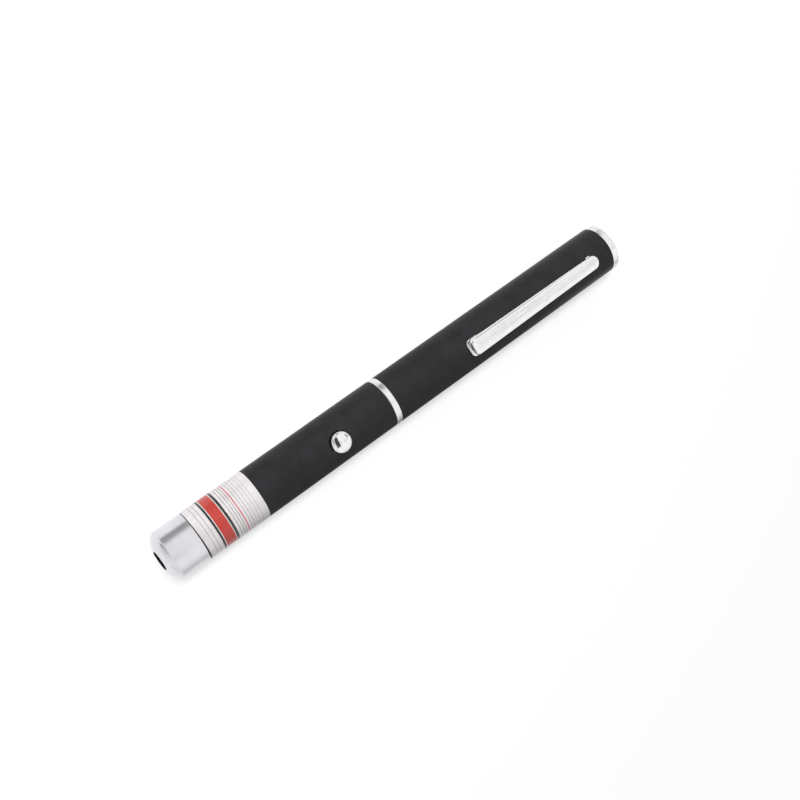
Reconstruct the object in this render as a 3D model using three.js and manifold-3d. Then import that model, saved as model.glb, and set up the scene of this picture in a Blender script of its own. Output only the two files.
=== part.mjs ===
// A pen-shaped laser pointer that runs on two slim cells, in millimetres, +Z up.
// The beam leaves along +X. The push button and the pocket clip face +Z. The barrel lies on z = 0,
// and x = 0 is halfway along the pen.

import * as THREE from 'three';
import { mergeVertices } from 'three/addons/utils/BufferGeometryUtils.js';
import Module from 'manifold-3d';

const wasm = await Module();
wasm.setup();

// Power cells, which set the bore
const cellDiameter = 10.5;
const cellLength = 44.5;
const cellNubDiameter = 3.8;
const cellNubHeight = 1.0;
const cellShoulder = 0.5;

// Walls and clearances, counted outwards from the cells
const cellClearance = 0.2;
const couplerWall = 0.75;
const threadClearance = 0.1;
const socketWall = 0.7;

// Clearances that all pieces share
const fitGap = 0.05;
const seatGap = 0.3;
const overrun = 1;

// Lengths seen from outside, from the nose to the tail
const noseDomeHeight = 2.4;
const nozzleLength = 8.2;
const labelZoneLength = 18.4;
const frontSleeveLength = 41.6;
const jointRingWidth = 1.95;
const tailCapWidth = 2.15;
const edgeBreak = 0.15;

// Nozzle
const apertureDiameter = 5;
const apertureLandWidth = 0.3;
const noseChamfer = 0.2;
const noseCreaseAngle = 20;
const noseWall = 1.2;
const neckWall = 0.6;
const neckLength = 6;

// Label
const labelThickness = 0.15;

// Threaded coupler and its place in both halves
const couplerSeatLength = 8;
const couplerReach = 7;
const couplerChamfer = 0.3;
const pilotLength = 2;
const pilotStep = 0.25;

// Tail cap and its spring
const tailCapRounding = 0.5;
const tailCapEndWall = 1.2;
const spigotLength = 4;
const spigotWall = 0.7;
const springRoom = 4.2;
const springWire = 0.6;
const springWideRadius = 4.6;
const springNarrowRadius = 2.6;
const springTurns = 3;
const springStepsPerTurn = 12;
const springWireSides = 6;

// Push button
const buttonFromLabel = 24.7;
const buttonDiameter = 5.7;
const buttonProud = 2.15;
const buttonDomeHeight = 1;
const buttonHoleClearance = 0.2;
const buttonFlangeWidth = 0.35;
const buttonFlangeThickness = 0.7;
const buttonFlangeClearance = 0.15;
const buttonTravel = 0.5;

// Tact switch
const switchWidth = 4.5;
const switchHeight = 3.5;
const switchCorner = 0.4;
const plungerDiameter = 2.4;
const plungerProud = 0.7;
const plungerDepth = 1.2;
const plungerPocketDepth = 2;
const legLength = 0.7;
const legWidth = 0.6;
const legThickness = 0.25;

// Circuit board and its cradle
const boardThickness = 1;
const boardTail = 0.5;
const boardEdgeGap = 0.25;
const boardCorner = 0.6;
const cradleWall = 0.8;
const cradleClearance = 0.1;

// What the board carries, each placed by its share of the room from the laser module to the switch
const chipPlaceShare = 0.387097;
const chipLength = 5;
const chipWidth = 3.9;
const chipHeight = 1.5;
const chipLegPitch = 1.27;
const chipLegsPerSide = 4;
const trimPlaceShare = 0.670968;
const trimLength = 3.6;
const trimWidth = 3.4;
const trimHeight = 1.2;
const trimRotorDiameter = 2.6;
const trimRotorProud = 0.5;
const trimSlotWidth = 0.5;
const trimSlotDepth = 0.3;
const capacitorPlaceShare = 0.860215;
const capacitorLength = 2.8;
const capacitorWidth = 3.5;
const capacitorHeight = 1.9;
const capacitorBevel = 0.3;

// Contact behind the board
const contactDiscThickness = 0.8;
const contactStudDiameter = 3.6;
const contactStudHeight = 0.55;
const contactRivetDiameter = 1.4;

// Laser module
const moduleClearance = 0.15;
const moduleLength = 24;
const moduleChamfer = 0.3;
const diodeFlangeDiameter = 5.6;
const diodeFlangeThickness = 1.2;
const diodeCanDiameter = 4.6;
const diodeCanLength = 3.5;
const diodeTipGap = 0.2;
const diodePinDiameter = 0.45;
const diodePinLength = 3;
const diodePinCircle = 2.54;
const crystalMountDiameter = 6.8;
const crystalMountLength = 4;
const crystalWidth = 2;
const crystalLength = 2.4;
const crystalLightHole = 1.6;
const expanderDiameter = 3;
const expanderThickness = 1;
const expanderSag = 0.3;

// Lens holder in the front of the module
const lensThreadWall = 1;
const lensHolderLength = 9;
const lensHolderRecess = 1;
const lensHolderBore = 5.2;
const filterDiameter = 6;
const filterThickness = 0.8;
const collimatorDiameter = 6.5;
const collimatorEdge = 1.3;
const collimatorSag = 0.7;
const lensRingThickness = 0.8;
const lensRingBore = 5;
const spannerSlotWidth = 0.7;
const spannerSlotDepth = 0.4;

// Pocket clip
const clipFromTail = 7.8;
const clipArmLength = 46.6;
const clipFreeWidth = 5.1;
const clipTailWidth = 3.9;
const clipTipRounding = 1.4;
const clipDepth = 1.2;
const clipSheet = 0.5;
const clipEdgeRounding = 0.25;
const clipFlankWidth = 0.3;
const clipFlankHeight = 0.95;
const clipBarrelGap = 0.15;
const clipRise = 0.6;
const clipLipLength = 4;
const clipLipOverhang = 0.6;
const clipLipBite = 0.15;
const clipFootFromTailEnd = 2.2;
const clipSaddleLength = 1.4;
const clipSaddleWidth = 4.3;
const clipSaddleHeight = 0.3;
const clipTabLength = 1.2;
const clipTabWidth = 2.6;

// Numbers of facets, and the merging distance for corners that coincide
const barrelFacets = 48;
const innerFacets = 32;
const smallFacets = 16;
const arcSteps = 6;
const mergeDistance = 1e-4;

// Radii, worked out from the cell outwards
const cellRadius = cellDiameter / 2;
const boreRadius = cellRadius + cellClearance;
const couplerRadius = boreRadius + couplerWall;
const couplerSeatRadius = couplerRadius + fitGap;
const socketRadius = couplerRadius + threadClearance;
const penRadius = socketRadius + socketWall;
const neckRadius = boreRadius + neckWall;
const moduleRadius = boreRadius - moduleClearance;

// Stations along the pen, worked out from the nose to the tail
const switchBehindLabel = buttonFromLabel + switchWidth / 2 + boardTail;
const contactBehindLabel = switchBehindLabel + fitGap + contactDiscThickness + contactStudHeight + fitGap;
const tailBehindLabel = contactBehindLabel + 2 * cellLength + springRoom + tailCapEndWall;
const noseLength = noseDomeHeight + nozzleLength + labelZoneLength;
const penLength = noseLength + tailBehindLabel;

const tipX = penLength / 2;
const noseEdgeX = tipX - noseDomeHeight;
const nozzleBackX = noseEdgeX - nozzleLength;
const shoulderX = nozzleBackX - seatGap;
const labelBackX = nozzleBackX - labelZoneLength;
const buttonX = labelBackX - buttonFromLabel;
const boardBackX = labelBackX - switchBehindLabel;
const contactX = labelBackX - contactBehindLabel;
const ringFrontX = labelBackX - frontSleeveLength;
const ringBackX = ringFrontX - jointRingWidth;
const tailX = -penLength / 2;
const rearBarrelBackX = tailX + tailCapWidth;
const springSeatX = tailX + tailCapEndWall;
const nozzleInnerX = noseEdgeX - noseWall;
const moduleFrontX = nozzleInnerX - seatGap;
const moduleBackX = moduleFrontX - moduleLength;
const boardFrontX = moduleBackX - seatGap;
const boardRoom = boardFrontX - (buttonX + switchWidth / 2);

// Heights above the pen's axis, worked out from the bore down to the board
const flangeRadius = buttonDiameter / 2 + buttonFlangeWidth;
const flangeTopZ = Math.sqrt((boreRadius - buttonFlangeClearance) ** 2 - flangeRadius ** 2);
const flangeBottomZ = flangeTopZ - buttonFlangeThickness;
const switchTopZ = flangeBottomZ - plungerProud;
const boardTopZ = switchTopZ - switchHeight;
const boardBottomZ = boardTopZ - boardThickness;
const boardWidth = 2 * Math.sqrt((boreRadius - boardEdgeGap) ** 2 - boardBottomZ ** 2);

function standard(color, roughness, metalness) {
  return new THREE.MeshStandardMaterial({ color, roughness, metalness });
}

const satinSilver = standard(0xd9dadd, 0.38, 0.9);
const mattBlack = standard(0x37373a, 0.6, 0.1);
const foil = standard(0xdcdbe0, 0.35, 0.5);
const chrome = standard(0xe8e9ec, 0.12, 1);
const brass = standard(0xc9a253, 0.35, 1);
const steel = standard(0xb9bbbe, 0.3, 1);
const cellJacket = standard(0x3f5d78, 0.45, 0.2);
const fibreglass = standard(0x2f6b3f, 0.6, 0);
const blackPlastic = standard(0x1c1c1e, 0.55, 0);
const tantalum = standard(0xc98f2e, 0.5, 0);
const trimBlue = standard(0x2c5ea8, 0.5, 0);
const clearGlass = standard(0xdfe9ea, 0.05, 0);
const tintedGlass = standard(0x7fb7b0, 0.08, 0);
const laserCrystal = standard(0xc9a7d8, 0.08, 0);

// Groups: the pen's axis lies one radius above the surface, and each moving group hangs in it
const pen = new THREE.Group();
pen.position.z = penRadius;

function place(name, geometry, material) {
  const mesh = new THREE.Mesh(geometry, material);
  mesh.name = name;
  pen.add(mesh);
  return mesh;
}

// Solids for joining and cutting

function toSolid(geometry) {
  const bare = geometry.clone();
  bare.deleteAttribute('normal');
  bare.deleteAttribute('uv');
  const merged = mergeVertices(bare, mergeDistance);
  const corners = [];
  for (let i = 0; i < merged.index.count; i += 3) {
    const [a, b, c] = [0, 1, 2].map((k) => merged.index.getX(i + k));
    if (a !== b && b !== c && c !== a) corners.push(a, b, c);
  }
  return new wasm.Manifold(new wasm.Mesh({
    numProp: 3,
    vertProperties: Float32Array.from(merged.attributes.position.array),
    triVerts: Uint32Array.from(corners),
  }));
}

function toGeometry(solid) {
  const mesh = solid.getMesh();
  const geometry = new THREE.BufferGeometry();
  geometry.setAttribute('position', new THREE.BufferAttribute(mesh.vertProperties, 3));
  geometry.setIndex(new THREE.BufferAttribute(mesh.triVerts, 1));
  geometry.computeVertexNormals();
  return geometry;
}

const cut = (geometry, ...tools) =>
  toGeometry(tools.reduce((solid, tool) => solid.subtract(toSolid(tool)), toSolid(geometry)));

const join = (...geometries) => toGeometry(geometries.map(toSolid).reduce((a, b) => a.add(b)));

const common = (a, b) => toGeometry(toSolid(a).intersect(toSolid(b)));

// Turned pieces. A profile is a list of [x, radius], up the outside and back through the bore.
// The flats of the facets touch the true circle, and one flat faces straight down.

function turned(profile, facets = barrelFacets) {
  const outward = 1 / Math.cos(Math.PI / facets);
  const open = profile[0][1] > 0 ? [...profile, profile[0]] : profile;
  const points = open.map(([x, radius]) => new THREE.Vector2(radius * outward, x));
  return new THREE.LatheGeometry(points, facets, Math.PI / facets).rotateZ(-Math.PI / 2);
}

// The same about an upright axis, with a profile of [z, radius]
const upright = (profile, facets) => turned(profile, facets).rotateY(-Math.PI / 2);

const rod = (fromX, toX, radius, facets) => turned([[fromX, 0], [fromX, radius], [toX, radius], [toX, 0]], facets);

function sleeve(fromX, toX, innerRadius, outerRadius, chamfer = 0, facets = barrelFacets) {
  return turned([
    [fromX, innerRadius],
    [fromX, outerRadius - chamfer],
    ...(chamfer > 0 ? [[fromX + chamfer, outerRadius], [toX - chamfer, outerRadius]] : []),
    [toX, outerRadius - chamfer],
    [toX, innerRadius],
  ], facets);
}

// Points of an arc in a profile, from one angle to another about a centre, without its first point
function arc(centreX, centreRadius, radius, fromAngle, toAngle, steps = arcSteps) {
  return Array.from({ length: steps }, (_, i) => {
    const angle = fromAngle + ((toAngle - fromAngle) * (i + 1)) / steps;
    return [centreX + radius * Math.cos(angle), centreRadius + radius * Math.sin(angle)];
  });
}

// A shallow dome from [x, radius] up to a smaller radius: part of a sphere centred on the axis
function dome(baseX, baseRadius, topX, topRadius, steps = arcSteps) {
  const rise = topX - baseX;
  const behind = (baseRadius ** 2 - topRadius ** 2 - rise ** 2) / (2 * rise);
  const centreX = baseX - behind;
  const radius = Math.hypot(behind, baseRadius);
  const from = Math.atan2(baseRadius, behind);
  const to = Math.atan2(topRadius, behind + rise);
  return arc(centreX, 0, radius, from, to, steps);
}

// A box by the middle of its underside
function block(length, width, height, x, y, bottomZ) {
  return new THREE.BoxGeometry(length, width, height).translate(x, y, bottomZ + height / 2);
}

// Front half: nozzle, barrel, label and coupler

// The nose's curve, from its edge to the land round the aperture: a quarter of an ellipse without its first
// degrees, so that the edge stays a crease
function noseCurve() {
  const landRadius = apertureDiameter / 2 + apertureLandWidth;
  const drop = penRadius - noseChamfer - landRadius;
  const start = THREE.MathUtils.degToRad(noseCreaseAngle);
  return Array.from({ length: arcSteps + 1 }, (_, i) => {
    const angle = start + (i / arcSteps) * (Math.PI / 2 - start);
    const forward = (noseDomeHeight * (Math.sin(angle) - Math.sin(start))) / (1 - Math.sin(start));
    return [noseEdgeX + forward, landRadius + (drop * Math.max(0, Math.cos(angle))) / Math.cos(start)];
  });
}

function nozzle() {
  const apertureRadius = apertureDiameter / 2;
  return turned([
    [nozzleBackX, neckRadius + fitGap],
    [nozzleBackX, penRadius - edgeBreak],
    [nozzleBackX + edgeBreak, penRadius],
    [noseEdgeX - noseChamfer, penRadius],
    ...noseCurve(),
    [tipX, apertureRadius],
    [nozzleInnerX, apertureRadius],
    [nozzleInnerX, boreRadius],
    [shoulderX + neckLength + seatGap, boreRadius],
    [shoulderX + neckLength + seatGap, neckRadius + fitGap],
  ]);
}

function frontBarrel() {
  const labelSeatRadius = penRadius - labelThickness - fitGap;
  const couplerFrontX = ringFrontX + couplerSeatLength;
  const body = turned([
    [ringFrontX, couplerSeatRadius],
    [ringFrontX, penRadius - edgeBreak],
    [ringFrontX + edgeBreak, penRadius],
    [labelBackX, penRadius],
    [labelBackX, labelSeatRadius],
    [shoulderX, labelSeatRadius],
    [shoulderX, neckRadius],
    [shoulderX + neckLength, neckRadius],
    [shoulderX + neckLength, boreRadius],
    [couplerFrontX + fitGap, boreRadius],
    [couplerFrontX + fitGap, couplerSeatRadius],
  ]);
  const holeRadius = buttonDiameter / 2 + buttonHoleClearance;
  const hole = upright([[0, 0], [0, holeRadius], [penRadius + overrun, holeRadius], [penRadius + overrun, 0]],
    innerFacets);
  return cut(body, hole.translate(buttonX, 0, 0));
}

function labelBand() {
  return sleeve(labelBackX + fitGap, shoulderX, penRadius - labelThickness, penRadius);
}

// Male thread, drawn as the plain cylinder of its crests, with a pilot that leads into the rear half
function threadCoupler() {
  const backX = ringBackX - couplerReach;
  const pilotRadius = couplerRadius - pilotStep;
  return turned([
    [backX, boreRadius],
    [backX, pilotRadius - couplerChamfer],
    [backX + couplerChamfer, pilotRadius],
    [backX + pilotLength, pilotRadius],
    [backX + pilotLength + pilotStep, couplerRadius],
    [ringFrontX + couplerSeatLength, couplerRadius],
    [ringFrontX + couplerSeatLength, boreRadius],
  ]);
}

place('nozzle', nozzle(), satinSilver);
place('front_barrel', frontBarrel(), mattBlack);
place('label_band', labelBand(), foil);
place('thread_coupler', threadCoupler(), brass);

// Laser module: a stepped brass housing that is loaded from both ends

const diodeSeatRadius = diodeFlangeDiameter / 2 + fitGap;
const diodeSeatX = moduleBackX + diodeFlangeThickness;
const crystalSeatX = diodeSeatX + diodeCanLength + diodeTipGap;
const mountFrontX = crystalSeatX + crystalMountLength;
const lensThreadRadius = moduleRadius - lensThreadWall;
const holderFrontX = moduleFrontX - lensHolderRecess;
const holderBackX = holderFrontX - lensHolderLength;

function moduleHousing() {
  const canBoreRadius = diodeCanDiameter / 2 + fitGap;
  const mountSeatRadius = crystalMountDiameter / 2 + fitGap;
  return turned([
    [moduleBackX, diodeSeatRadius],
    [moduleBackX, moduleRadius - moduleChamfer],
    [moduleBackX + moduleChamfer, moduleRadius],
    [moduleFrontX - moduleChamfer, moduleRadius],
    [moduleFrontX, moduleRadius - moduleChamfer],
    [moduleFrontX, lensThreadRadius],
    [mountFrontX + fitGap, lensThreadRadius],
    [mountFrontX + fitGap, mountSeatRadius],
    [crystalSeatX - fitGap, mountSeatRadius],
    [crystalSeatX - fitGap, canBoreRadius],
    [diodeSeatX + fitGap, canBoreRadius],
    [diodeSeatX + fitGap, diodeSeatRadius],
  ], innerFacets);
}

// Pump diode in its metal can, with three pins that clear the board
function pumpDiode() {
  const canRadius = diodeCanDiameter / 2;
  const can = turned([
    [moduleBackX, 0],
    [moduleBackX, diodeFlangeDiameter / 2],
    [diodeSeatX, diodeFlangeDiameter / 2],
    [diodeSeatX, canRadius],
    [diodeSeatX + diodeCanLength - edgeBreak, canRadius],
    [diodeSeatX + diodeCanLength, canRadius - edgeBreak],
    [diodeSeatX + diodeCanLength, 0],
  ], innerFacets);
  const pins = [0, 1, 2].map((i) => {
    const angle = (i * Math.PI) / 2;
    const reach = diodePinCircle / 2;
    return rod(moduleBackX - diodePinLength, diodeSeatX, diodePinDiameter / 2, smallFacets)
      .translate(0, reach * Math.cos(angle), reach * Math.sin(angle));
  });
  return join(can, ...pins);
}

// Brass puck with the crystal in a square hole and the expander lens in its front pocket
function crystalMount() {
  const expanderSeatX = mountFrontX - expanderThickness;
  const puck = rod(crystalSeatX, mountFrontX, crystalMountDiameter / 2, innerFacets);
  const lightHole = rod(crystalSeatX - overrun, mountFrontX + overrun, crystalLightHole / 2, smallFacets);
  const pocket = rod(expanderSeatX, mountFrontX + overrun, expanderDiameter / 2 + fitGap, innerFacets);
  const slotWidth = crystalWidth + 2 * fitGap;
  const slotLength = crystalLength + fitGap + overrun;
  const slot = block(slotLength, slotWidth, slotWidth, crystalSeatX - overrun + slotLength / 2, 0, -slotWidth / 2);
  return cut(puck, lightHole, pocket, slot);
}

function crystal() {
  return block(crystalLength, crystalWidth, crystalWidth, crystalSeatX + crystalLength / 2, 0, -crystalWidth / 2);
}

// A lens that is flat behind and domed in front
function lens(backX, edge, sag, diameter) {
  const radius = diameter / 2;
  return turned([
    [backX, 0],
    [backX, radius],
    [backX + edge, radius],
    ...dome(backX + edge, radius, backX + edge + sag, 0),
  ], innerFacets);
}

const collimatorBackX = holderFrontX - lensRingThickness - fitGap - collimatorSag - collimatorEdge;

function lensHolder() {
  const outerRadius = lensThreadRadius - fitGap;
  const filterSeatRadius = filterDiameter / 2 + fitGap;
  const lensSeatRadius = collimatorDiameter / 2 + fitGap;
  const tube = turned([
    [holderBackX, filterSeatRadius],
    [holderBackX, outerRadius],
    [holderFrontX, outerRadius],
    [holderFrontX, lensSeatRadius],
    [collimatorBackX - fitGap, lensSeatRadius],
    [collimatorBackX - fitGap, lensHolderBore / 2],
    [holderBackX + filterThickness + fitGap, lensHolderBore / 2],
    [holderBackX + filterThickness + fitGap, filterSeatRadius],
  ], innerFacets);
  const slotX = holderFrontX - spannerSlotDepth / 2;
  const slot = block(spannerSlotDepth + overrun, 2 * moduleRadius, spannerSlotWidth, slotX + overrun / 2, 0,
    -spannerSlotWidth / 2);
  return cut(tube, slot);
}

function lensRing() {
  const backX = holderFrontX - lensRingThickness;
  const radius = collimatorDiameter / 2;
  return sleeve(backX, holderFrontX, lensRingBore / 2, radius, edgeBreak, innerFacets);
}

place('module_housing', moduleHousing(), brass);
place('pump_diode', pumpDiode(), steel);
place('crystal_mount', crystalMount(), brass);
place('laser_crystal', crystal(), laserCrystal);
place('expander_lens', lens(mountFrontX - expanderThickness + fitGap, expanderThickness - expanderSag - fitGap,
  expanderSag, expanderDiameter), clearGlass);
place('infrared_filter', rod(holderBackX, holderBackX + filterThickness, filterDiameter / 2, innerFacets),
  tintedGlass);
place('lens_holder', lensHolder(), brass);
place('collimating_lens', lens(collimatorBackX, collimatorEdge, collimatorSag, collimatorDiameter), clearGlass);
place('lens_ring', lensRing(), steel);

// Circuit board, the cradle that insulates it from the barrel, and what is soldered to it

function circuitBoard() {
  const length = boardFrontX - boardBackX;
  const [halfLength, halfWidth] = [length / 2, boardWidth / 2];
  const outline = new THREE.Shape();
  outline.moveTo(-halfLength, -halfWidth);
  outline.lineTo(halfLength - boardCorner, -halfWidth);
  outline.lineTo(halfLength, -halfWidth + boardCorner);
  outline.lineTo(halfLength, halfWidth - boardCorner);
  outline.lineTo(halfLength - boardCorner, halfWidth);
  outline.lineTo(-halfLength, halfWidth);
  outline.closePath();
  const plate = new THREE.ExtrudeGeometry(outline, { depth: boardThickness, bevelEnabled: false });
  return plate.translate(boardBackX + halfLength, 0, boardBottomZ);
}

function boardCradle() {
  const outerRadius = boreRadius - cradleClearance;
  const trough = sleeve(boardBackX, boardFrontX, outerRadius - cradleWall, outerRadius, 0, innerFacets);
  const length = boardFrontX - boardBackX;
  const below = block(length + overrun, 2 * penRadius, penRadius, (boardFrontX + boardBackX) / 2, 0,
    boardBottomZ - fitGap - penRadius);
  return common(trough, below);
}

// Small bent legs, drawn as strips that leave a part's side and rest on the board
function legs(x, halfWidth, offsets) {
  return offsets.flatMap((offset) => [-1, 1].map((side) => {
    const length = legLength + legThickness;
    const y = side * (halfWidth + legLength / 2 - legThickness / 2);
    return block(legWidth, length, legThickness, x + offset, y, boardTopZ + fitGap);
  }));
}

function switchBody() {
  const half = switchWidth / 2;
  const outline = new THREE.Shape();
  outline.moveTo(half - switchCorner, -half);
  outline.lineTo(half, -half + switchCorner);
  outline.lineTo(half, half - switchCorner);
  outline.lineTo(half - switchCorner, half);
  outline.lineTo(-half + switchCorner, half);
  outline.lineTo(-half, half - switchCorner);
  outline.lineTo(-half, -half + switchCorner);
  outline.lineTo(-half + switchCorner, -half);
  outline.closePath();
  const height = switchHeight - fitGap;
  const body = new THREE.ExtrudeGeometry(outline, { depth: height, bevelEnabled: false })
    .translate(buttonX, 0, switchTopZ - height);
  const pocketRadius = plungerDiameter / 2 + fitGap;
  const pocketBottomZ = switchTopZ - plungerPocketDepth;
  const pocket = upright([
    [pocketBottomZ, 0],
    [pocketBottomZ, pocketRadius],
    [switchTopZ + overrun, pocketRadius],
    [switchTopZ + overrun, 0],
  ], innerFacets).translate(buttonX, 0, 0);
  const spread = half - switchCorner - legWidth / 2;
  return cut(join(body, ...legs(buttonX, half, [-spread, spread])), pocket);
}

function driverChip() {
  const x = boardFrontX - boardRoom * chipPlaceShare;
  const first = (-(chipLegsPerSide - 1) * chipLegPitch) / 2;
  const offsets = Array.from({ length: chipLegsPerSide }, (_, i) => first + i * chipLegPitch);
  const body = block(chipLength, chipWidth, chipHeight, x, 0, boardTopZ + fitGap);
  return join(body, ...legs(x, chipWidth / 2, offsets));
}

function trimPot() {
  const x = boardFrontX - boardRoom * trimPlaceShare;
  const bottomZ = boardTopZ + fitGap;
  const topZ = bottomZ + trimHeight + trimRotorProud;
  const body = block(trimLength, trimWidth, trimHeight, x, 0, bottomZ);
  const rotorRadius = trimRotorDiameter / 2;
  const rotor = upright([[bottomZ, 0], [bottomZ, rotorRadius], [topZ, rotorRadius], [topZ, 0]], smallFacets)
    .translate(x, 0, 0);
  const slot = block(trimRotorDiameter + overrun, trimSlotWidth, trimSlotDepth + overrun, x, 0, topZ - trimSlotDepth);
  return cut(join(body, rotor), slot);
}

// Moulded block capacitor with drafted ends
function filterCapacitor() {
  const half = capacitorLength / 2;
  const outline = new THREE.Shape();
  outline.moveTo(-half, 0);
  outline.lineTo(half, 0);
  outline.lineTo(half, capacitorHeight - capacitorBevel);
  outline.lineTo(half - capacitorBevel, capacitorHeight);
  outline.lineTo(-half + capacitorBevel, capacitorHeight);
  outline.lineTo(-half, capacitorHeight - capacitorBevel);
  outline.closePath();
  return new THREE.ExtrudeGeometry(outline, { depth: capacitorWidth, bevelEnabled: false })
    .rotateX(Math.PI / 2)
    .translate(boardFrontX - boardRoom * capacitorPlaceShare, capacitorWidth / 2, boardTopZ + fitGap);
}

// Insulating disc with a riveted brass stud that meets the front cell. A flat on its top clears the
// pressed button.
function contactDisc() {
  const backX = contactX + fitGap + contactStudHeight;
  const frontX = backX + contactDiscThickness;
  const disc = sleeve(backX, frontX, contactRivetDiameter / 2 + fitGap, moduleRadius, 0, innerFacets);
  const above = block(contactDiscThickness + overrun, 2 * penRadius, penRadius, (backX + frontX) / 2, 0,
    flangeBottomZ - buttonTravel - seatGap);
  return cut(disc, above);
}

function contactStud() {
  const headBackX = contactX + fitGap;
  const headFrontX = headBackX + contactStudHeight;
  const rivetRadius = contactRivetDiameter / 2;
  return turned([
    [headBackX, 0],
    [headBackX, contactStudDiameter / 2 - edgeBreak],
    [headBackX + edgeBreak, contactStudDiameter / 2],
    [headFrontX, contactStudDiameter / 2],
    [headFrontX, rivetRadius],
    [headFrontX + contactDiscThickness, rivetRadius],
    [headFrontX + contactDiscThickness, 0],
  ], innerFacets);
}

place('circuit_board', circuitBoard(), fibreglass);
place('board_cradle', boardCradle(), blackPlastic);
place('switch_body', switchBody(), blackPlastic);
place('driver_chip', driverChip(), blackPlastic);
place('trim_pot', trimPot(), trimBlue);
place('filter_capacitor', filterCapacitor(), tantalum);
place('contact_disc', contactDisc(), fibreglass);
place('contact_stud', contactStud(), brass);

// Push button: a domed cap that a flange keeps in the barrel, over the switch's plunger

function buttonCap() {
  const radius = buttonDiameter / 2;
  const topZ = penRadius + buttonProud;
  const domeBaseZ = topZ - buttonDomeHeight;
  const domeArc = Array.from({ length: arcSteps }, (_, i) => {
    const angle = ((i + 1) * Math.PI) / 2 / arcSteps;
    return [domeBaseZ + buttonDomeHeight * Math.sin(angle), i + 1 < arcSteps ? radius * Math.cos(angle) : 0];
  });
  return upright([
    [flangeBottomZ, 0],
    [flangeBottomZ, flangeRadius],
    [flangeTopZ, flangeRadius],
    [flangeTopZ, radius],
    [domeBaseZ, radius],
    ...domeArc,
  ], innerFacets).translate(buttonX, 0, 0);
}

function switchPlunger() {
  const bottomZ = switchTopZ - plungerDepth;
  const radius = plungerDiameter / 2;
  return upright([[bottomZ, 0], [bottomZ, radius], [flangeBottomZ, radius], [flangeBottomZ, 0]], innerFacets)
    .translate(buttonX, 0, 0);
}

place('button_cap', buttonCap(), chrome);
place('switch_plunger', switchPlunger(), blackPlastic);

// Two cells in line, nubs towards the nose

function cell(frontX) {
  const shoulderFrontX = frontX - cellNubHeight;
  const backX = frontX - cellLength;
  return turned([
    [backX, 0],
    [backX, cellRadius - cellShoulder],
    [backX + cellShoulder, cellRadius],
    [shoulderFrontX - cellShoulder, cellRadius],
    [shoulderFrontX, cellRadius - cellShoulder],
    [shoulderFrontX, cellNubDiameter / 2],
    [frontX, cellNubDiameter / 2],
    [frontX, 0],
  ], innerFacets);
}

place('battery_front', cell(contactX), cellJacket);
place('battery_rear', cell(contactX - cellLength), cellJacket);

// Joint ring between the halves

place('joint_ring', sleeve(ringBackX + fitGap, ringFrontX - fitGap, socketRadius, penRadius, edgeBreak), chrome);

// Rear half: barrel, tail cap and spring

const clipTailX = tailX + clipFromTail;
const clipFootX = clipTailX + clipFootFromTailEnd;
const spigotRadius = boreRadius + spigotWall;

function rearBarrel() {
  const spigotSeatX = rearBarrelBackX + spigotLength + fitGap;
  const socketEndX = ringBackX - couplerReach - seatGap;
  const body = turned([
    [rearBarrelBackX + fitGap, spigotRadius + fitGap],
    [rearBarrelBackX + fitGap, penRadius],
    [ringBackX - edgeBreak, penRadius],
    [ringBackX, penRadius - edgeBreak],
    [ringBackX, socketRadius],
    [socketEndX, socketRadius],
    [socketEndX, boreRadius],
    [spigotSeatX, boreRadius],
    [spigotSeatX, spigotRadius + fitGap],
  ]);
  const slot = block(clipTabLength + 2 * seatGap, clipTabWidth + 2 * seatGap, penRadius, clipFootX, 0, 0);
  return cut(body, slot.translate(0, 0, overrun));
}

function tailCap() {
  const mouthX = rearBarrelBackX + spigotLength;
  return turned([
    [tailX, 0],
    [tailX, penRadius - tailCapRounding],
    ...arc(tailX + tailCapRounding, penRadius - tailCapRounding, tailCapRounding, Math.PI, Math.PI / 2),
    [rearBarrelBackX, penRadius],
    [rearBarrelBackX, spigotRadius],
    [mouthX - edgeBreak, spigotRadius],
    [mouthX, spigotRadius - edgeBreak],
    [mouthX, boreRadius],
    [springSeatX, boreRadius],
    [springSeatX, 0],
  ]);
}

// Cone spring between the cap and the rear cell: one wire, wound as a helix that narrows forwards
function tailSpring() {
  const wireRadius = springWire / 2;
  const startX = springSeatX + fitGap + wireRadius;
  const endX = contactX - 2 * cellLength - fitGap - wireRadius;
  const steps = springTurns * springStepsPerTurn;
  const rings = Array.from({ length: steps + 1 }, (_, i) => {
    const share = i / steps;
    const angle = share * springTurns * 2 * Math.PI;
    const coilRadius = springWideRadius + (springNarrowRadius - springWideRadius) * share;
    const x = startX + (endX - startX) * share;
    return Array.from({ length: springWireSides }, (_, k) => {
      const turn = ((k + 1 / 2) / springWireSides) * 2 * Math.PI;
      const radius = coilRadius + wireRadius * Math.cos(turn);
      return [x + wireRadius * Math.sin(turn), radius * Math.cos(angle), radius * Math.sin(angle)];
    });
  });
  return tube(rings);
}

// A closed skin over a row of rings of points, with a fan on each end
function tube(rings) {
  const sides = rings[0].length;
  const corner = (i, k) => i * sides + (k % sides);
  const last = rings.length - 1;
  const triangles = [];
  for (let i = 0; i < last; i += 1) {
    for (let k = 0; k < sides; k += 1) {
      triangles.push(corner(i, k), corner(i + 1, k), corner(i + 1, k + 1));
      triangles.push(corner(i, k), corner(i + 1, k + 1), corner(i, k + 1));
    }
  }
  for (let k = 1; k < sides - 1; k += 1) {
    triangles.push(corner(0, 0), corner(0, k), corner(0, k + 1));
    triangles.push(corner(last, 0), corner(last, k + 1), corner(last, k));
  }
  const geometry = new THREE.BufferGeometry();
  geometry.setAttribute('position', new THREE.Float32BufferAttribute(rings.flat(2), 3));
  geometry.setIndex(triangles);
  geometry.computeVertexNormals();
  return geometry;
}

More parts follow.
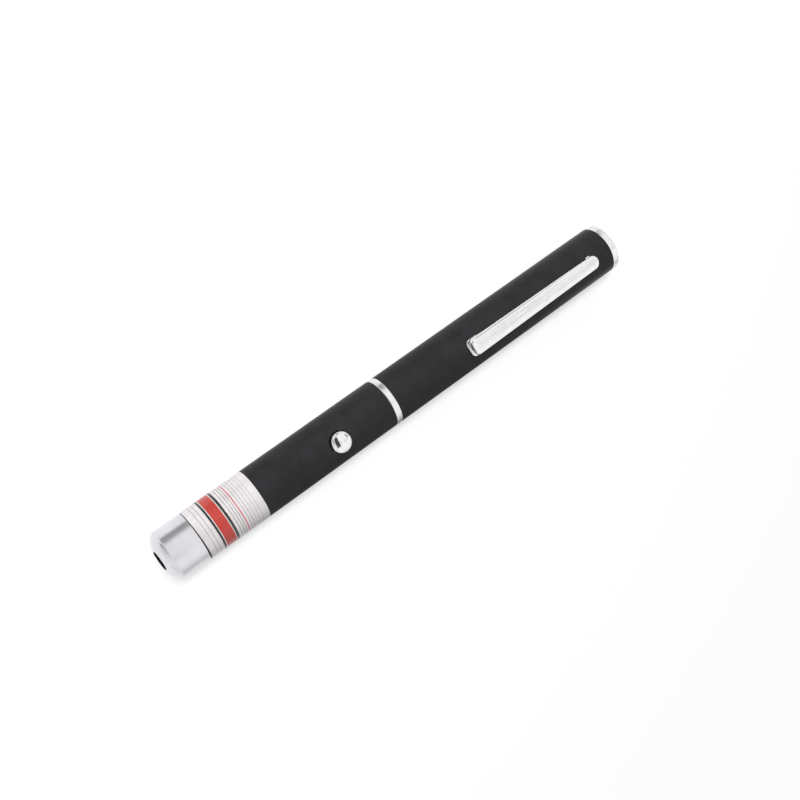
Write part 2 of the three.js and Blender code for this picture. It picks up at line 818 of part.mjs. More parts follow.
place('rear_barrel', rearBarrel(), mattBlack);
place('tail_cap', tailCap(), chrome);
place('tail_spring', tailSpring(), steel);

// Pocket clip: a pressed channel that tapers to its round tail, with a lip under the free end

function tipCorners(outline, frontX, inset) {
  const cornerX = frontX - clipTipRounding;
  const cornerY = clipFreeWidth / 2 - clipTipRounding;
  outline.absarc(cornerX, -cornerY, clipTipRounding - inset, -Math.PI / 2, 0);
  outline.absarc(cornerX, cornerY, clipTipRounding - inset, 0, Math.PI / 2);
}

function clipOutline(inset) {
  const tailRadius = clipTailWidth / 2;
  const outline = new THREE.Shape();
  tipCorners(outline, clipArmLength, inset);
  outline.absarc(tailRadius, 0, tailRadius - inset, Math.PI / 2, (3 * Math.PI) / 2);
  outline.closePath();
  return outline;
}

function clipArm() {
  const bar = new THREE.ExtrudeGeometry(clipOutline(clipEdgeRounding), {
    depth: clipDepth - 2 * clipEdgeRounding,
    bevelThickness: clipEdgeRounding,
    bevelSize: clipEdgeRounding,
    bevelSegments: 3,
    curveSegments: arcSteps,
  }).translate(0, 0, clipEdgeRounding);
  const channel = new THREE.ExtrudeGeometry(clipOutline(clipSheet), {
    depth: clipDepth - clipSheet + overrun,
    bevelEnabled: false,
    curveSegments: arcSteps,
  }).translate(0, 0, -overrun);
  return cut(bar, channel, flankWedge(1), flankWedge(-1))
    .rotateY(-Math.atan2(clipRise, clipArmLength))
    .translate(clipTailX, 0, penRadius + clipBarrelGap);
}

// What the flank takes off one top edge: nothing at the round tail, the whole flank at the free end
function flankWedge(side) {
  const station = (x, share) => {
    const halfWidth = (clipTailWidth + (clipFreeWidth - clipTailWidth) * share) / 2;
    const outerY = halfWidth + clipFlankWidth;
    const lowerZ = clipDepth - clipFlankHeight * (share + 1);
    const innerY = halfWidth - clipFlankWidth * (share + 1);
    const upperZ = clipDepth + clipFlankHeight;
    const corners = [[outerY, lowerZ], [outerY, upperZ], [innerY, upperZ]];
    return (side < 0 ? corners : corners.reverse()).map(([y, z]) => [x, side * y, z]);
  };
  return tube([station(clipTailWidth / 2, 0), station(clipArmLength + overrun, 1)]);
}

// The sheet turned under the free end, which rests on the barrel
function clipLip() {
  const frontX = clipArmLength + clipLipOverhang;
  const halfWidth = clipFreeWidth / 2 - fitGap;
  const outline = new THREE.Shape();
  tipCorners(outline, frontX, fitGap);
  outline.lineTo(frontX - clipLipLength, halfWidth);
  outline.lineTo(frontX - clipLipLength, -halfWidth);
  outline.closePath();
  const depth = clipBarrelGap - fitGap + clipRise + clipLipBite;
  const options = { depth, bevelEnabled: false, curveSegments: arcSteps };
  return new THREE.ExtrudeGeometry(outline, options).translate(clipTailX, 0, penRadius + fitGap);
}

function clipFoot() {
  const saddleTopZ = penRadius + clipBarrelGap + clipSaddleHeight;
  const tabTopZ = penRadius + clipBarrelGap + clipDepth - clipSheet + fitGap;
  const saddle = block(clipSaddleLength, clipSaddleWidth, saddleTopZ, clipFootX, 0, 0);
  const clearOfBarrel = rod(tailX, ringBackX, penRadius + fitGap);
  const tab = block(clipTabLength, clipTabWidth, tabTopZ - boreRadius - seatGap, clipFootX, 0,
    boreRadius + seatGap);
  return join(cut(saddle, clearOfBarrel), tab);
}

place('clip', join(clipArm(), clipLip(), clipFoot()), chrome);

export default pen;
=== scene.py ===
# %% [markdown]
# A pen-shaped laser pointer in Blender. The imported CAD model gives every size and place, so it is
# loaded first and nothing is fitted afterwards. Lengths are in metres, the beam leaves along +X, and
# the push button and the pocket clip face +Z.

# %% Load the frame
import math

import bmesh
import bpy
from mathutils import Matrix, Vector


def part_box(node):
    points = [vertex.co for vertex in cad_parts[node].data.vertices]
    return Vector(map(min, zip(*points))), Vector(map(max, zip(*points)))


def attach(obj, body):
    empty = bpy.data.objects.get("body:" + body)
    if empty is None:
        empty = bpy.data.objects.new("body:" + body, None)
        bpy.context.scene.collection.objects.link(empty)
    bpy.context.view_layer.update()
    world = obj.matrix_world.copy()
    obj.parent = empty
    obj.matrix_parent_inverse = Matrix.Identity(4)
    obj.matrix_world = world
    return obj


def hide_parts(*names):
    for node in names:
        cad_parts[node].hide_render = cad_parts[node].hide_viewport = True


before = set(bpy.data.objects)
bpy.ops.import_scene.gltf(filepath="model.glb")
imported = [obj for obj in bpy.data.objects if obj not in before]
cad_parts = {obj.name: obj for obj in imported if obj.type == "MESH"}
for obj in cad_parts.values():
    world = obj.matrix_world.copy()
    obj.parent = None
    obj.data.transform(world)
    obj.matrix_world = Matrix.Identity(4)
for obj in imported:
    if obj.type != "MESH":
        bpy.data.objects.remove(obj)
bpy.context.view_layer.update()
scene = bpy.context.scene
scene.view_settings.view_transform = "Standard"

# %% [markdown]
# Most pieces of a pen are turned on a lathe, so their sizes are stations along the axis and radii
# about it. The stations come from the CAD boxes, so a change of size there is followed here. Only
# walls that no box shows are written down. FIT is the gap between pieces that sit in one another.

# %% Stations and radii
MM = 0.001


def span(node):
    """Where a node starts and ends along the pen."""
    low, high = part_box(node)
    return low.x, high.x


nozzle_back, tip = span("nozzle")
label_back, label_front = span("label_band")
sleeve_back, neck_front = span("front_barrel")
ring_back, ring_front = span("joint_ring")
rear_back, rear_front = span("rear_barrel")
tail_end, spigot_mouth = span("tail_cap")
coupler_back, coupler_front = span("thread_coupler")
clip_tail, clip_front = span("clip")

barrel_low, barrel_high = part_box("front_barrel")
button_low, button_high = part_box("button_cap")
RADIUS = (barrel_high.y - barrel_low.y) / 2
AXIS_Z = (barrel_high.z + barrel_low.z) / 2
BUTTON_X = (button_low.x + button_high.x) / 2
FIT = 0.05 * MM
BORE = 5.45 * MM
SOCKET = 6.3 * MM
COUPLER = 6.2 * MM
SPIGOT = 6.15 * MM
NECK = 6.05 * MM
LABEL_THICKNESS = 0.15 * MM
print("radius", round(RADIUS / MM, 3), "axis height", round(AXIS_Z / MM, 3))

# %% [markdown]
# The camera repeats the photograph's viewpoint: close above the pen and in front of its nose, rolled
# so that the pen climbs to the right. A lens of 53 mm on a 36 mm sensor gives the same perspective.

# %% Camera
CAMERA_PLACE = Vector((99.76, -83.27, 297.14)) * MM
CAMERA_TURN = [math.radians(angle) for angle in (-3.508, -24.073, 147.854)]

camera_data = bpy.data.cameras.new("camera")
camera_data.lens = 53.42
camera_data.sensor_width = 36
camera_data.clip_start = 0.01
camera_data.clip_end = 20
camera = bpy.data.objects.new("camera", camera_data)
camera.location = CAMERA_PLACE
camera.rotation_euler = CAMERA_TURN
scene.collection.objects.link(camera)
scene.camera = camera
print("camera", round((CAMERA_PLACE - Vector((0, 0, AXIS_Z))).length / MM), "mm from the pen's middle")

# %% [markdown]
# Shader maths reads best as ordinary expressions. This small class wraps a node's output and turns
# each operator into a Math node, so a mask can be written as `1 - edge * noise`. Two masks meet in
# least or most, and step makes a soft edge, which a plain comparison wouldn't.

# %% Shader values


class Value:
    """A number that varies over the surface: an output socket with operators."""

    def __init__(self, graph, socket):
        self.graph = graph
        self.socket = socket

    def maths(self, operation, *others):
        settings = {"operation": operation}
        return self.graph.node("ShaderNodeMath", settings, {0: self, **dict(enumerate(others, 1))})

    def __add__(self, other):
        return self.maths("ADD", other)

    __radd__ = __add__

    def __mul__(self, other):
        return self.maths("MULTIPLY", other)

    __rmul__ = __mul__

    def __sub__(self, other):
        return self.maths("SUBTRACT", other)

    def __rsub__(self, other):
        return self.graph.node("ShaderNodeMath", {"operation": "SUBTRACT"}, {0: other, 1: self})

    def __truediv__(self, other):
        return self.maths("DIVIDE", other)

    def __rtruediv__(self, other):
        return self.graph.node("ShaderNodeMath", {"operation": "DIVIDE"}, {0: other, 1: self})

    def __abs__(self):
        return self.maths("ABSOLUTE")

    def least(self, other):
        return self.maths("MINIMUM", other)

    def most(self, other):
        return self.maths("MAXIMUM", other)

    def step(self, low, high, bottom=0.0, top=1.0):
        """Goes smoothly from bottom at low to top at high."""
        settings = {"interpolation_type": "SMOOTHSTEP"}
        sockets = {"Value": self, "From Min": low, "From Max": high, "To Min": bottom, "To Max": top}
        return self.graph.node("ShaderNodeMapRange", settings, sockets)


# %% [markdown]
# Nodes could be added one by one with their links, but then each finish would be a page long. One
# method adds any node: it takes the node's type, its settings and what goes into its sockets. The
# others are short names for the nodes that nearly every finish of this pen needs. The pattern's place
# is in metres from the scene's middle, and its height is counted from the pen's axis.

# %% Node trees


class Graph:
    """The node tree of one material or of the world, with the coordinates that finishes start from."""

    def __init__(self, tree):
        self.tree = tree
        self.tree.nodes.clear()
        self.made = {}

    def node(self, kind, settings=None, sockets=None, output=0):
        made = self.tree.nodes.new(kind)
        for name, value in (settings or {}).items():
            setattr(made, name, value)
        for name, value in (sockets or {}).items():
            self.feed(made.inputs[name], value)
        return Value(self, made.outputs[output])

    def feed(self, socket, value):
        if isinstance(value, Value):
            self.tree.links.new(value.socket, socket)
        else:
            socket.default_value = value

    def place(self):
        """Object coordinates, in metres, as a vector."""
        if "place" not in self.made:
            self.made["place"] = self.node("ShaderNodeTexCoord", output="Object")
        return self.made["place"]

    def split(self, vector):
        parts = self.node("ShaderNodeSeparateXYZ", sockets={0: vector}).socket.node
        return [Value(self, output) for output in parts.outputs]

    def xyz(self):
        """Object coordinates as three values, the height counted from the pen's axis."""
        if "xyz" not in self.made:
            x, y, z = self.split(self.place())
            self.made["xyz"] = (x, y, z - AXIS_Z)
        return self.made["xyz"]

    def from_axis(self):
        """The distance from the pen's axis."""
        _, y, z = self.xyz()
        return (y * y + z * z).maths("SQRT")

    def stretched(self, scale):
        """Object coordinates scaled apart along X, Y and Z, for grain that runs one way."""
        return self.node("ShaderNodeMapping", {"vector_type": "POINT"},
                         {"Vector": self.place(), "Scale": scale})

    def noise(self, scale, detail=2.0, roughness=0.5, vector=None, distortion=0.0):
        sockets = {"Vector": vector or self.place(), "Scale": scale, "Detail": detail,
                   "Roughness": roughness, "Distortion": distortion}
        return self.node("ShaderNodeTexNoise", {"noise_dimensions": "3D"}, sockets)

    def mix(self, factor, first, second):
        """Blends two colours; each is a colour or a Value."""
        return self.node("ShaderNodeMix", {"data_type": "RGBA"}, {0: factor, 6: first, 7: second}, 2)

    def blend(self, factor, first, second):
        """Mixes two shaders."""
        return self.node("ShaderNodeMixShader", sockets={0: factor, 1: first, 2: second})

    def bump(self, height, distance, strength=1.0, under=None):
        sockets = {"Height": height, "Distance": distance, "Strength": strength}
        if under is not None:
            sockets["Normal"] = under
        return self.node("ShaderNodeBump", sockets=sockets)

    def surface(self, shader, kind="ShaderNodeOutputMaterial"):
        out = self.tree.nodes.new(kind)
        self.feed(out.inputs["Surface"], shader)

    def principled(self, **sockets):
        named = {name.replace("_", " "): value for name, value in sockets.items()}
        self.surface(self.node("ShaderNodeBsdfPrincipled", sockets=named))


def material(name):
    made = bpy.data.materials.new(name)
    made.use_nodes = True
    return made, Graph(made.node_tree)


def grey(level, tint=(1.0, 1.0, 1.0)):
    return (level * tint[0], level * tint[1], level * tint[2], 1.0)


# %% [markdown]
# Both sleeves are sprayed with matt black paint. Sprayed paint has a fine orange peel, a broad soft
# sheen that is a little uneven, pale specks of dust, and bare metal where an edge has rubbed.

# %% Matt black paint


def matt_black(name, ends):
    """Paint that is rubbed at the given stations along the pen."""
    made, g = material(name)
    x, _, _ = g.xyz()
    cloud = g.noise(260, 3.0)
    peel = g.noise(5200, 2.0)
    specks = g.noise(2600, 1.0).step(0.76, 0.82)
    rub = g.noise(900, 4.0, 0.7)
    near = abs(x - ends[0]).least(abs(x - ends[1])).step(0.05 * MM, 0.3 * MM, 1.0, 0.0)
    worn = near * rub.step(0.62, 0.74)
    darker = grey(0.025, (0.985, 0.985, 1.055))
    paler = grey(0.031, (0.985, 0.985, 1.06))
    shade = g.mix(cloud.step(0.3, 0.7), darker, paler)
    shade = g.mix(specks * 0.12, shade, grey(0.16))
    shade = g.mix(worn * 0.5, shade, grey(0.30, (1, 0.95, 0.85)))
    g.principled(
        Base_Color=shade,
        Roughness=cloud.step(0.2, 0.8, 0.30, 0.38) - worn * 0.05,
        Metallic=worn * 0.5,
        Specular_IOR_Level=0.07,
        Normal=g.bump(peel, 0.004 * MM, 0.6),
    )
    return made


# %% [markdown]
# The nozzle is turned from aluminium and satin plated. A lathe leaves rings round the axis, which the
# plating softens, so the noise is squeezed along X and left long across it. Inside the aperture and on
# the bevel round it the colour is painted near black and the metal made matt, as painted shade for the
# dark hole.

# %% Satin silver
APERTURE = 2.5 * MM
BEVEL = 0.3 * MM


def satin_silver():
    made, g = material("satin_silver")
    rings = g.noise(1.0, 2.0, vector=g.stretched((9000, 60, 60)))
    cloud = g.noise(190, 3.0)
    marks = g.noise(1.0, 2.0, 0.6, vector=g.stretched((700, 2400, 2400))).step(0.68, 0.76)
    mouth = APERTURE + BEVEL
    # Painted shade: near black and matt inside the aperture and on its bevel.
    painted_aperture_shade = g.from_axis().step(mouth - 0.03 * MM, mouth + 0.02 * MM, 1.0, 0.0)
    darker = grey(0.74, (0.995, 0.982, 1.03))
    paler = grey(0.80, (0.995, 0.984, 1.03))
    colour = g.mix(cloud.step(0.3, 0.7), darker, paler)
    colour = g.mix(marks * 0.2, colour, grey(0.55))
    colour = g.mix(painted_aperture_shade, colour, grey(0.003))
    g.principled(
        Base_Color=colour,
        Metallic=1 - painted_aperture_shade,
        Roughness=rings.step(0.3, 0.7, 0.19, 0.25) + cloud * 0.03 + marks * 0.06 + painted_aperture_shade * 0.35,
        Specular_IOR_Level=0.06,
        Normal=g.bump(rings, 0.0012 * MM, 0.5),
    )
    return made


# %% [markdown]
# The label is a silvered foil sticker. The foil is laminated, so it has a faint wrinkle here and
# there and a clear gloss. Its print is kept generic: a pale-edged red band on a dark one, a finer red
# line, and thin grey rows that fade towards the back. Each is a mask made from the distance to its
# station, which keeps the print sharp at any zoom, as a picture wouldn't.

# %% Label foil
RED_BAND = (6.25, 2.9)
PALE_BAND = (6.25, 3.3)
DARK_BAND = (6.3, 4.6)
RED_LINE = (11.6, 0.3)
ROW_WIDTH = 0.3
ROWS = (
    (0.60, (9.4, 10.2, 10.9)),
    (0.45, (1.8, 2.9, 12.5, 13.3)),
    (0.28, (14.2, 15.1, 16.0)),
)


def label_foil():
    made, g = material("label_foil")
    x, _, _ = g.xyz()
    wrinkle = g.noise(1.0, 3.0, 0.55, vector=g.stretched((420, 900, 900)))
    fibre = g.noise(4200, 2.0)
    ink_edge = g.noise(3000, 1.0) * 0.05 * MM

    def band(centre, width):
        """1 inside a printed band, by its middle's distance behind the label's front edge, in mm."""
        away = abs(x - (label_front - centre * MM)) + ink_edge
        return away.step(width / 2 * MM - 0.02 * MM, width / 2 * MM + 0.06 * MM, 1.0, 0.0)

    silver = (1.03, 0.98, 0.99)
    colour = g.mix(wrinkle.step(0.3, 0.7), grey(0.73, silver), grey(0.79, silver))
    faint = fibre.step(0.3, 0.7, 0.6, 1.0)
    for share, centres in ROWS:
        rows = band(centres[0], ROW_WIDTH)
        for centre in centres[1:]:
            rows = rows.most(band(centre, ROW_WIDTH))
        colour = g.mix(rows * faint * share, colour, grey(0.12))
    colour = g.mix(band(*RED_LINE), colour, (0.62, 0.10, 0.13, 1))
    colour = g.mix(band(*DARK_BAND), colour, grey(0.028, (1, 1.03, 0.94)))
    colour = g.mix(band(*PALE_BAND), colour, grey(0.78))
    colour = g.mix(band(*RED_BAND), colour, (0.53, 0.047, 0.033, 1))
    g.principled(
        Base_Color=colour,
        Metallic=0.15,
        Roughness=wrinkle.step(0.2, 0.8, 0.24, 0.34) + fibre * 0.04,
        Coat_Weight=0.35,
        Coat_Roughness=0.12,
        Normal=g.bump(wrinkle, 0.02 * MM, 0.35, g.bump(fibre, 0.001 * MM, 0.3)),
    )
    return made


# %% [markdown]
# Ring, clip, button and end cap are polished and chromed. Polished chrome is never clean: faint smudges
# raise its roughness in patches, and hairline scratches follow the way it was wiped. A long pressed piece
# also keeps a slight waviness, which bends what it reflects. Along a groove a dark hairline is painted
# into the colour, as painted shade in the crease.

# %% Polished chrome


def polished_chrome(name, grain, level=0.90, base=0.06, wave=0.0, groove=None):
    """Chrome whose hairlines are drawn out by the scale in grain.

    A groove is given by its two end points, and a dark hairline of painted shade is drawn along it.
    """
    made, g = material(name)
    hair = g.noise(1.0, 3.0, 0.6, vector=g.stretched(grain))
    smudge = g.noise(420, 4.0, 0.6, distortion=0.6)
    normal = g.bump(hair, 0.0006 * MM, 0.5)
    if wave:
        normal = g.bump(g.noise(1.0, 2.0, vector=g.stretched((160, 420, 420))), wave, 1.0, normal)
    cool = (1, 1, 1.01)
    colour = g.mix(smudge.step(0.35, 0.7), grey(level, cool), grey(level - 0.06, cool))
    if groove:
        (back_x, back_y), (front_x, front_y) = groove
        x, y, _ = g.xyz()
        share = (x - back_x) / (front_x - back_x)
        away = abs(y - back_y - share * (front_y - back_y))
        # Painted shade: a dark hairline along the groove's line.
        painted_groove_shade = away.step(0.03 * MM, 0.08 * MM, 1.0, 0.0)
        painted_groove_shade = painted_groove_shade * share.step(0.0, 0.6) * share.step(0.98, 1.0, 1.0, 0.0)
        colour = g.mix(painted_groove_shade * 0.85, colour, grey(0.10))
    g.principled(
        Base_Color=colour,
        Metallic=1.0,
        Roughness=smudge.step(0.4, 0.75, base, base + 0.07) + hair.step(0.55, 0.75) * 0.05,
        Normal=normal,
    )
    return made


# %% [markdown]
# Brass and steel pieces inside are turned but not plated. Brass tarnishes in warm brown patches, and
# steel carries fine rings with a few dull spots, so one function serves both.

# %% Plain turned metal


def turned_metal(name, bright, dull, base, grain=(6000, 80, 80)):
    made, g = material(name)
    rings = g.noise(1.0, 2.0, vector=g.stretched(grain))
    patch = g.noise(520, 4.0, 0.65)
    g.principled(
        Base_Color=g.mix(patch.step(0.42, 0.7), bright, dull),
        Metallic=1.0,
        Roughness=patch.step(0.35, 0.7, base, base + 0.14) + rings * 0.06,
        Normal=g.bump(rings, 0.0015 * MM, 0.6),
    )
    return made


# %% [markdown]
# Plastics differ in colour and gloss but share a moulded grain: a fine stipple, and soft variation
# where the surface cooled unevenly.

# %% Plastics and board


def moulded(name, colour, other, base):
    made, g = material(name)
    grain = g.noise(3600, 2.0)
    cloud = g.noise(330, 3.0)
    g.principled(
        Base_Color=g.mix(cloud.step(0.35, 0.7), colour, other),
        Roughness=cloud.step(0.2, 0.8, base, base + 0.1),
        Normal=g.bump(grain, 0.004 * MM, 0.7),
    )
    return made


def board_laminate():
    """Green solder mask over a woven glass laminate, with paler copper tracks under it."""
    made, g = material("board_green")
    x, y, _ = g.xyz()
    weave = (x * 9000).maths("SINE") * (y * 9000).maths("SINE")
    tracks = abs((y * 5200 + g.noise(160, 0.0) * 3).maths("SINE")).step(0.86, 0.94)
    colour = g.mix(weave.step(-0.6, 0.6), (0.018, 0.130, 0.040, 1), (0.024, 0.165, 0.052, 1))
    colour = g.mix(tracks * 0.5, colour, (0.060, 0.260, 0.080, 1))
    g.principled(
        Base_Color=colour,
        Roughness=weave.step(-1.0, 1.0, 0.28, 0.40),
        Normal=g.bump(weave + tracks, 0.01 * MM, 0.5),
    )
    return made


# %% [markdown]
# The lenses, the filter and the crystal have an anti-reflection coating, which tints their gloss. A
# full transmission shader would need many bounces, so they mix a clear and a glossy part.

# %% Glass


def coated_glass(name, tint, coat, clear):
    made, g = material(name)
    dust = g.noise(3200, 3.0).step(0.66, 0.8)
    facing = g.node("ShaderNodeLayerWeight", sockets={"Blend": 0.3}, output="Facing")
    see_through = g.node("ShaderNodeBsdfTransparent", sockets={"Color": tint})
    body = g.node("ShaderNodeBsdfPrincipled", sockets={
        "Base Color": g.mix(dust * 0.5, coat, grey(0.6)),
        "Roughness": dust.step(0.0, 1.0, 0.04, 0.3),
    })
    share = (facing * (1 - clear) + (1 - clear) + dust * 0.2).least(1.0)
    g.surface(g.blend(share, see_through, body))
    return made


# %% [markdown]
# Each finish is made once and shared by the pieces that have it. The paint is made twice, because its
# rubbed edges lie at other stations on each sleeve, and the chrome's grain follows each piece's way
# of being polished: round a turned piece, and in every direction over the button.

# %% Materials of the outside
paint_front = matt_black("matt_black_front", (ring_front, label_back))
paint_rear = matt_black("matt_black_rear", (rear_back, rear_front))
satin = satin_silver()
foil = label_foil()
chrome_turned = polished_chrome("chrome_turned", (7000, 70, 70), base=0.20)
chrome_button = polished_chrome("chrome_button", (2400, 2400, 900), base=0.05)

# %% Materials of the inside
brass = turned_metal("brass", (0.72, 0.50, 0.20, 1), (0.50, 0.31, 0.12, 1), 0.22)
steel = turned_metal("steel", (0.60, 0.60, 0.61, 1), (0.42, 0.41, 0.40, 1), 0.20)
spring_steel = turned_metal("spring_steel", (0.58, 0.58, 0.60, 1), (0.40, 0.39, 0.37, 1), 0.16,
                            (900, 2600, 2600))
black_plastic = moulded("black_plastic", grey(0.014), grey(0.024), 0.42)
amber = moulded("amber_moulding", (0.55, 0.29, 0.035, 1), (0.62, 0.36, 0.06, 1), 0.34)
blue = moulded("blue_moulding", (0.018, 0.085, 0.36, 1), (0.026, 0.11, 0.42, 1), 0.30)
board = board_laminate()
clear_glass = coated_glass("clear_glass", (0.96, 0.99, 0.98, 1), (0.10, 0.16, 0.22, 1), 0.8)
tinted_glass = coated_glass("tinted_glass", (0.35, 0.72, 0.66, 1), (0.10, 0.30, 0.28, 1), 0.55)
crystal = coated_glass("crystal", (0.80, 0.62, 0.90, 1), (0.36, 0.20, 0.46, 1), 0.45)
print(len(bpy.data.materials), "materials")

# %% [markdown]
# Every piece is built as a bmesh and becomes an object at the origin, with its place in its mesh.
# Points that coincide are merged before the normals are turned outwards, because a seam would stop
# the turning. Shading is smooth up to an angle, so that a crease stays a crease.

# %% From a bmesh to an object
MERGE = 1e-7
TURNED_ANGLE = 28
PRESSED_ANGLE = 35


def finish_mesh(name, bm, paint, smooth_angle=TURNED_ANGLE):
    """Makes an object at the origin from a bmesh, with smooth shading up to an angle."""
    bmesh.ops.remove_doubles(bm, verts=bm.verts, dist=MERGE)
    bmesh.ops.recalc_face_normals(bm, faces=bm.faces)
    mesh = bpy.data.meshes.new(name)
    bm.to_mesh(mesh)
    bm.free()
    mesh.shade_smooth()
    mesh.set_sharp_from_angle(angle=math.radians(smooth_angle))
    mesh.materials.append(paint)
    made = bpy.data.objects.new(name, mesh)
    scene.collection.objects.link(made)
    return made


def belongs(piece, body, slot, *nodes):
    """Ties a piece to its body, and to the CAD nodes that it stands for, which it hides. The slot is not
    used.
    """
    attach(piece, body)
    if nodes:
        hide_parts(*nodes)
    piece.data.validate()
    print(piece.name, len(piece.data.polygons), "faces on", body)
    return piece


# %% [markdown]
# A lathe piece is a profile spun about the axis. The profile starts as a few corner points. Corners
# that a lathe tool would break are rounded with a vertex bevel before the spin, which costs nothing
# and gives every edge its own radius. Small pieces need fewer steps to look round.

# %% Turned pieces
STEPS = 160
SMALL_STEPS = 96
LENS_STEPS = 72


def spun(profile, rounds, steps=STEPS):
    """A bmesh of the profile, a list of (along, radius), spun about the X axis.

    rounds maps a radius to the corners that get it. A profile that keeps off the axis is closed.
    """
    bm = bmesh.new()
    corners = [bm.verts.new((along, 0, radius)) for along, radius in profile]
    for first, second in zip(corners, corners[1:]):
        bm.edges.new((first, second))
    if profile[0][1] > 0:
        bm.edges.new((corners[-1], corners[0]))
    for radius, picked in rounds.items():
        bmesh.ops.bevel(bm, geom=[corners[i] for i in picked], offset=radius, offset_type="OFFSET",
                        segments=5, profile=0.5, affect="VERTICES", material=-1)
    bmesh.ops.spin(bm, geom=bm.verts[:] + bm.edges[:], cent=(0, 0, 0), axis=(1, 0, 0),
                   angle=math.tau, steps=steps, use_merge=True)
    return bm


def turned(name, profile, rounds, paint, steps=STEPS):
    bm = spun(profile, rounds, steps)
    bmesh.ops.translate(bm, verts=bm.verts, vec=(0, 0, AXIS_Z))
    return finish_mesh(name, bm, paint)


def turned_upright(name, profile, rounds, paint, x, steps=STEPS):
    """A piece turned about the upright line at x. The profile's heights count from the pen's axis."""
    bm = spun(profile, rounds, steps)
    bmesh.ops.rotate(bm, verts=bm.verts, cent=(0, 0, 0), matrix=Matrix.Rotation(-math.pi / 2, 3, "Y"))
    bmesh.ops.translate(bm, verts=bm.verts, vec=(x, 0, AXIS_Z))
    return finish_mesh(name, bm, paint)


# %% [markdown]
# The nozzle's nose starts with a small bright chamfer and a crease, then domes over to a bevel round the
# aperture, which is coloured near black as painted shade. The dome is a quarter of an ellipse without its
# first degrees, so its points come from sine and cosine, and the missing degrees are what keeps the
# crease visible.

# %% Nozzle
NOSE_HEIGHT = 2.4 * MM
NOSE_STEP = 0.2 * MM
NOSE_CREASE = math.radians(20)
NOSE_WALL = 1.2 * MM
NECK_LENGTH = 6.0 * MM
NECK_GAP = 0.3 * MM
BEVEL_DROP = 0.25 * MM
nose_edge = tip - NOSE_HEIGHT
shoulder = neck_front - NECK_LENGTH


def nose_curve(steps=28):
    """From the crease to the aperture's bevel, as (along, radius)."""
    mouth = APERTURE + BEVEL
    drop = RADIUS - NOSE_STEP - mouth
    height = NOSE_HEIGHT - BEVEL_DROP
    low, wide = math.sin(NOSE_CREASE), math.cos(NOSE_CREASE)
    angles = [NOSE_CREASE + (math.pi / 2 - NOSE_CREASE) * i / steps for i in range(steps + 1)]
    return [
        (nose_edge + height * (math.sin(a) - low) / (1 - low), mouth + drop * max(0, math.cos(a)) / wide)
        for a in angles
    ]


nose = nose_curve()
inner_wall = nose_edge - NOSE_WALL
neck_end = neck_front + NECK_GAP
nozzle_profile = [
    (nozzle_back, NECK + FIT),
    (nozzle_back, RADIUS),
    (nose_edge - NOSE_STEP, RADIUS),
    *nose,
    (tip, APERTURE),
    (inner_wall, APERTURE),
    (inner_wall, BORE),
    (neck_end, BORE),
    (neck_end, NECK + FIT),
]
nozzle = turned("nozzle", nozzle_profile, {0.15 * MM: [1], 0.04 * MM: [3 + len(nose)]}, satin)
belongs(nozzle, "front_half", "satin_silver", "nozzle")

# %% [markdown]
# The front sleeve is one long turned tube: a neck that carries the nozzle, a shallow seat for the
# label, and a wider bore at the back for the threaded bush. The button's hole is drilled last, as in
# the workshop, with a Boolean whose cutter is thrown away afterwards.

# %% Front sleeve
HOLE_RADIUS = 3.05 * MM


def drilled(piece, cutter):
    """Cuts one object out of another for good, and removes the cutter."""
    cut = piece.modifiers.new("hole", "BOOLEAN")
    cut.operation = "DIFFERENCE"
    cut.solver = "EXACT"
    cut.object = cutter
    bpy.context.view_layer.update()
    seen = piece.evaluated_get(bpy.context.evaluated_depsgraph_get())
    old = piece.data
    piece.data = bpy.data.meshes.new_from_object(seen)
    piece.data.name = piece.name
    piece.modifiers.clear()
    bpy.data.meshes.remove(old)
    spare = cutter.data
    bpy.data.objects.remove(cutter)
    bpy.data.meshes.remove(spare)
    piece.data.set_sharp_from_angle(angle=math.radians(TURNED_ANGLE))
    return piece


label_seat = RADIUS - LABEL_THICKNESS - FIT
front_barrel = turned(
    "front_barrel",
    [
        (sleeve_back, COUPLER + FIT),
        (sleeve_back, RADIUS),
        (label_back - FIT, RADIUS),
        (label_back - FIT, label_seat),
        (shoulder, label_seat),
        (shoulder, NECK),
        (neck_front, NECK),
        (neck_front, BORE),
        (coupler_front + FIT, BORE),
        (coupler_front + FIT, COUPLER + FIT),
    ],
    {0.15 * MM: [1], 0.05 * MM: [2, 4], 0.2 * MM: [6]},
    paint_front,
)
drill_profile = [(0, 0), (0, HOLE_RADIUS), (2 * RADIUS, HOLE_RADIUS), (2 * RADIUS, 0)]
drill = turned_upright("drill", drill_profile, {}, paint_front, BUTTON_X, SMALL_STEPS)
drilled(front_barrel, drill)
belongs(front_barrel, "front_half", "matt_black", "front_barrel")

# %% [markdown]
# The label is a strip wrapped round by hand, so its front edge isn't quite square to the pen, and
# its ends leave a hairline gap underneath. It is a thin rectangle spun not quite all the way round.

# %% Label
LABEL_GAP = math.radians(3)
LABEL_SKEW = 0.15 * MM


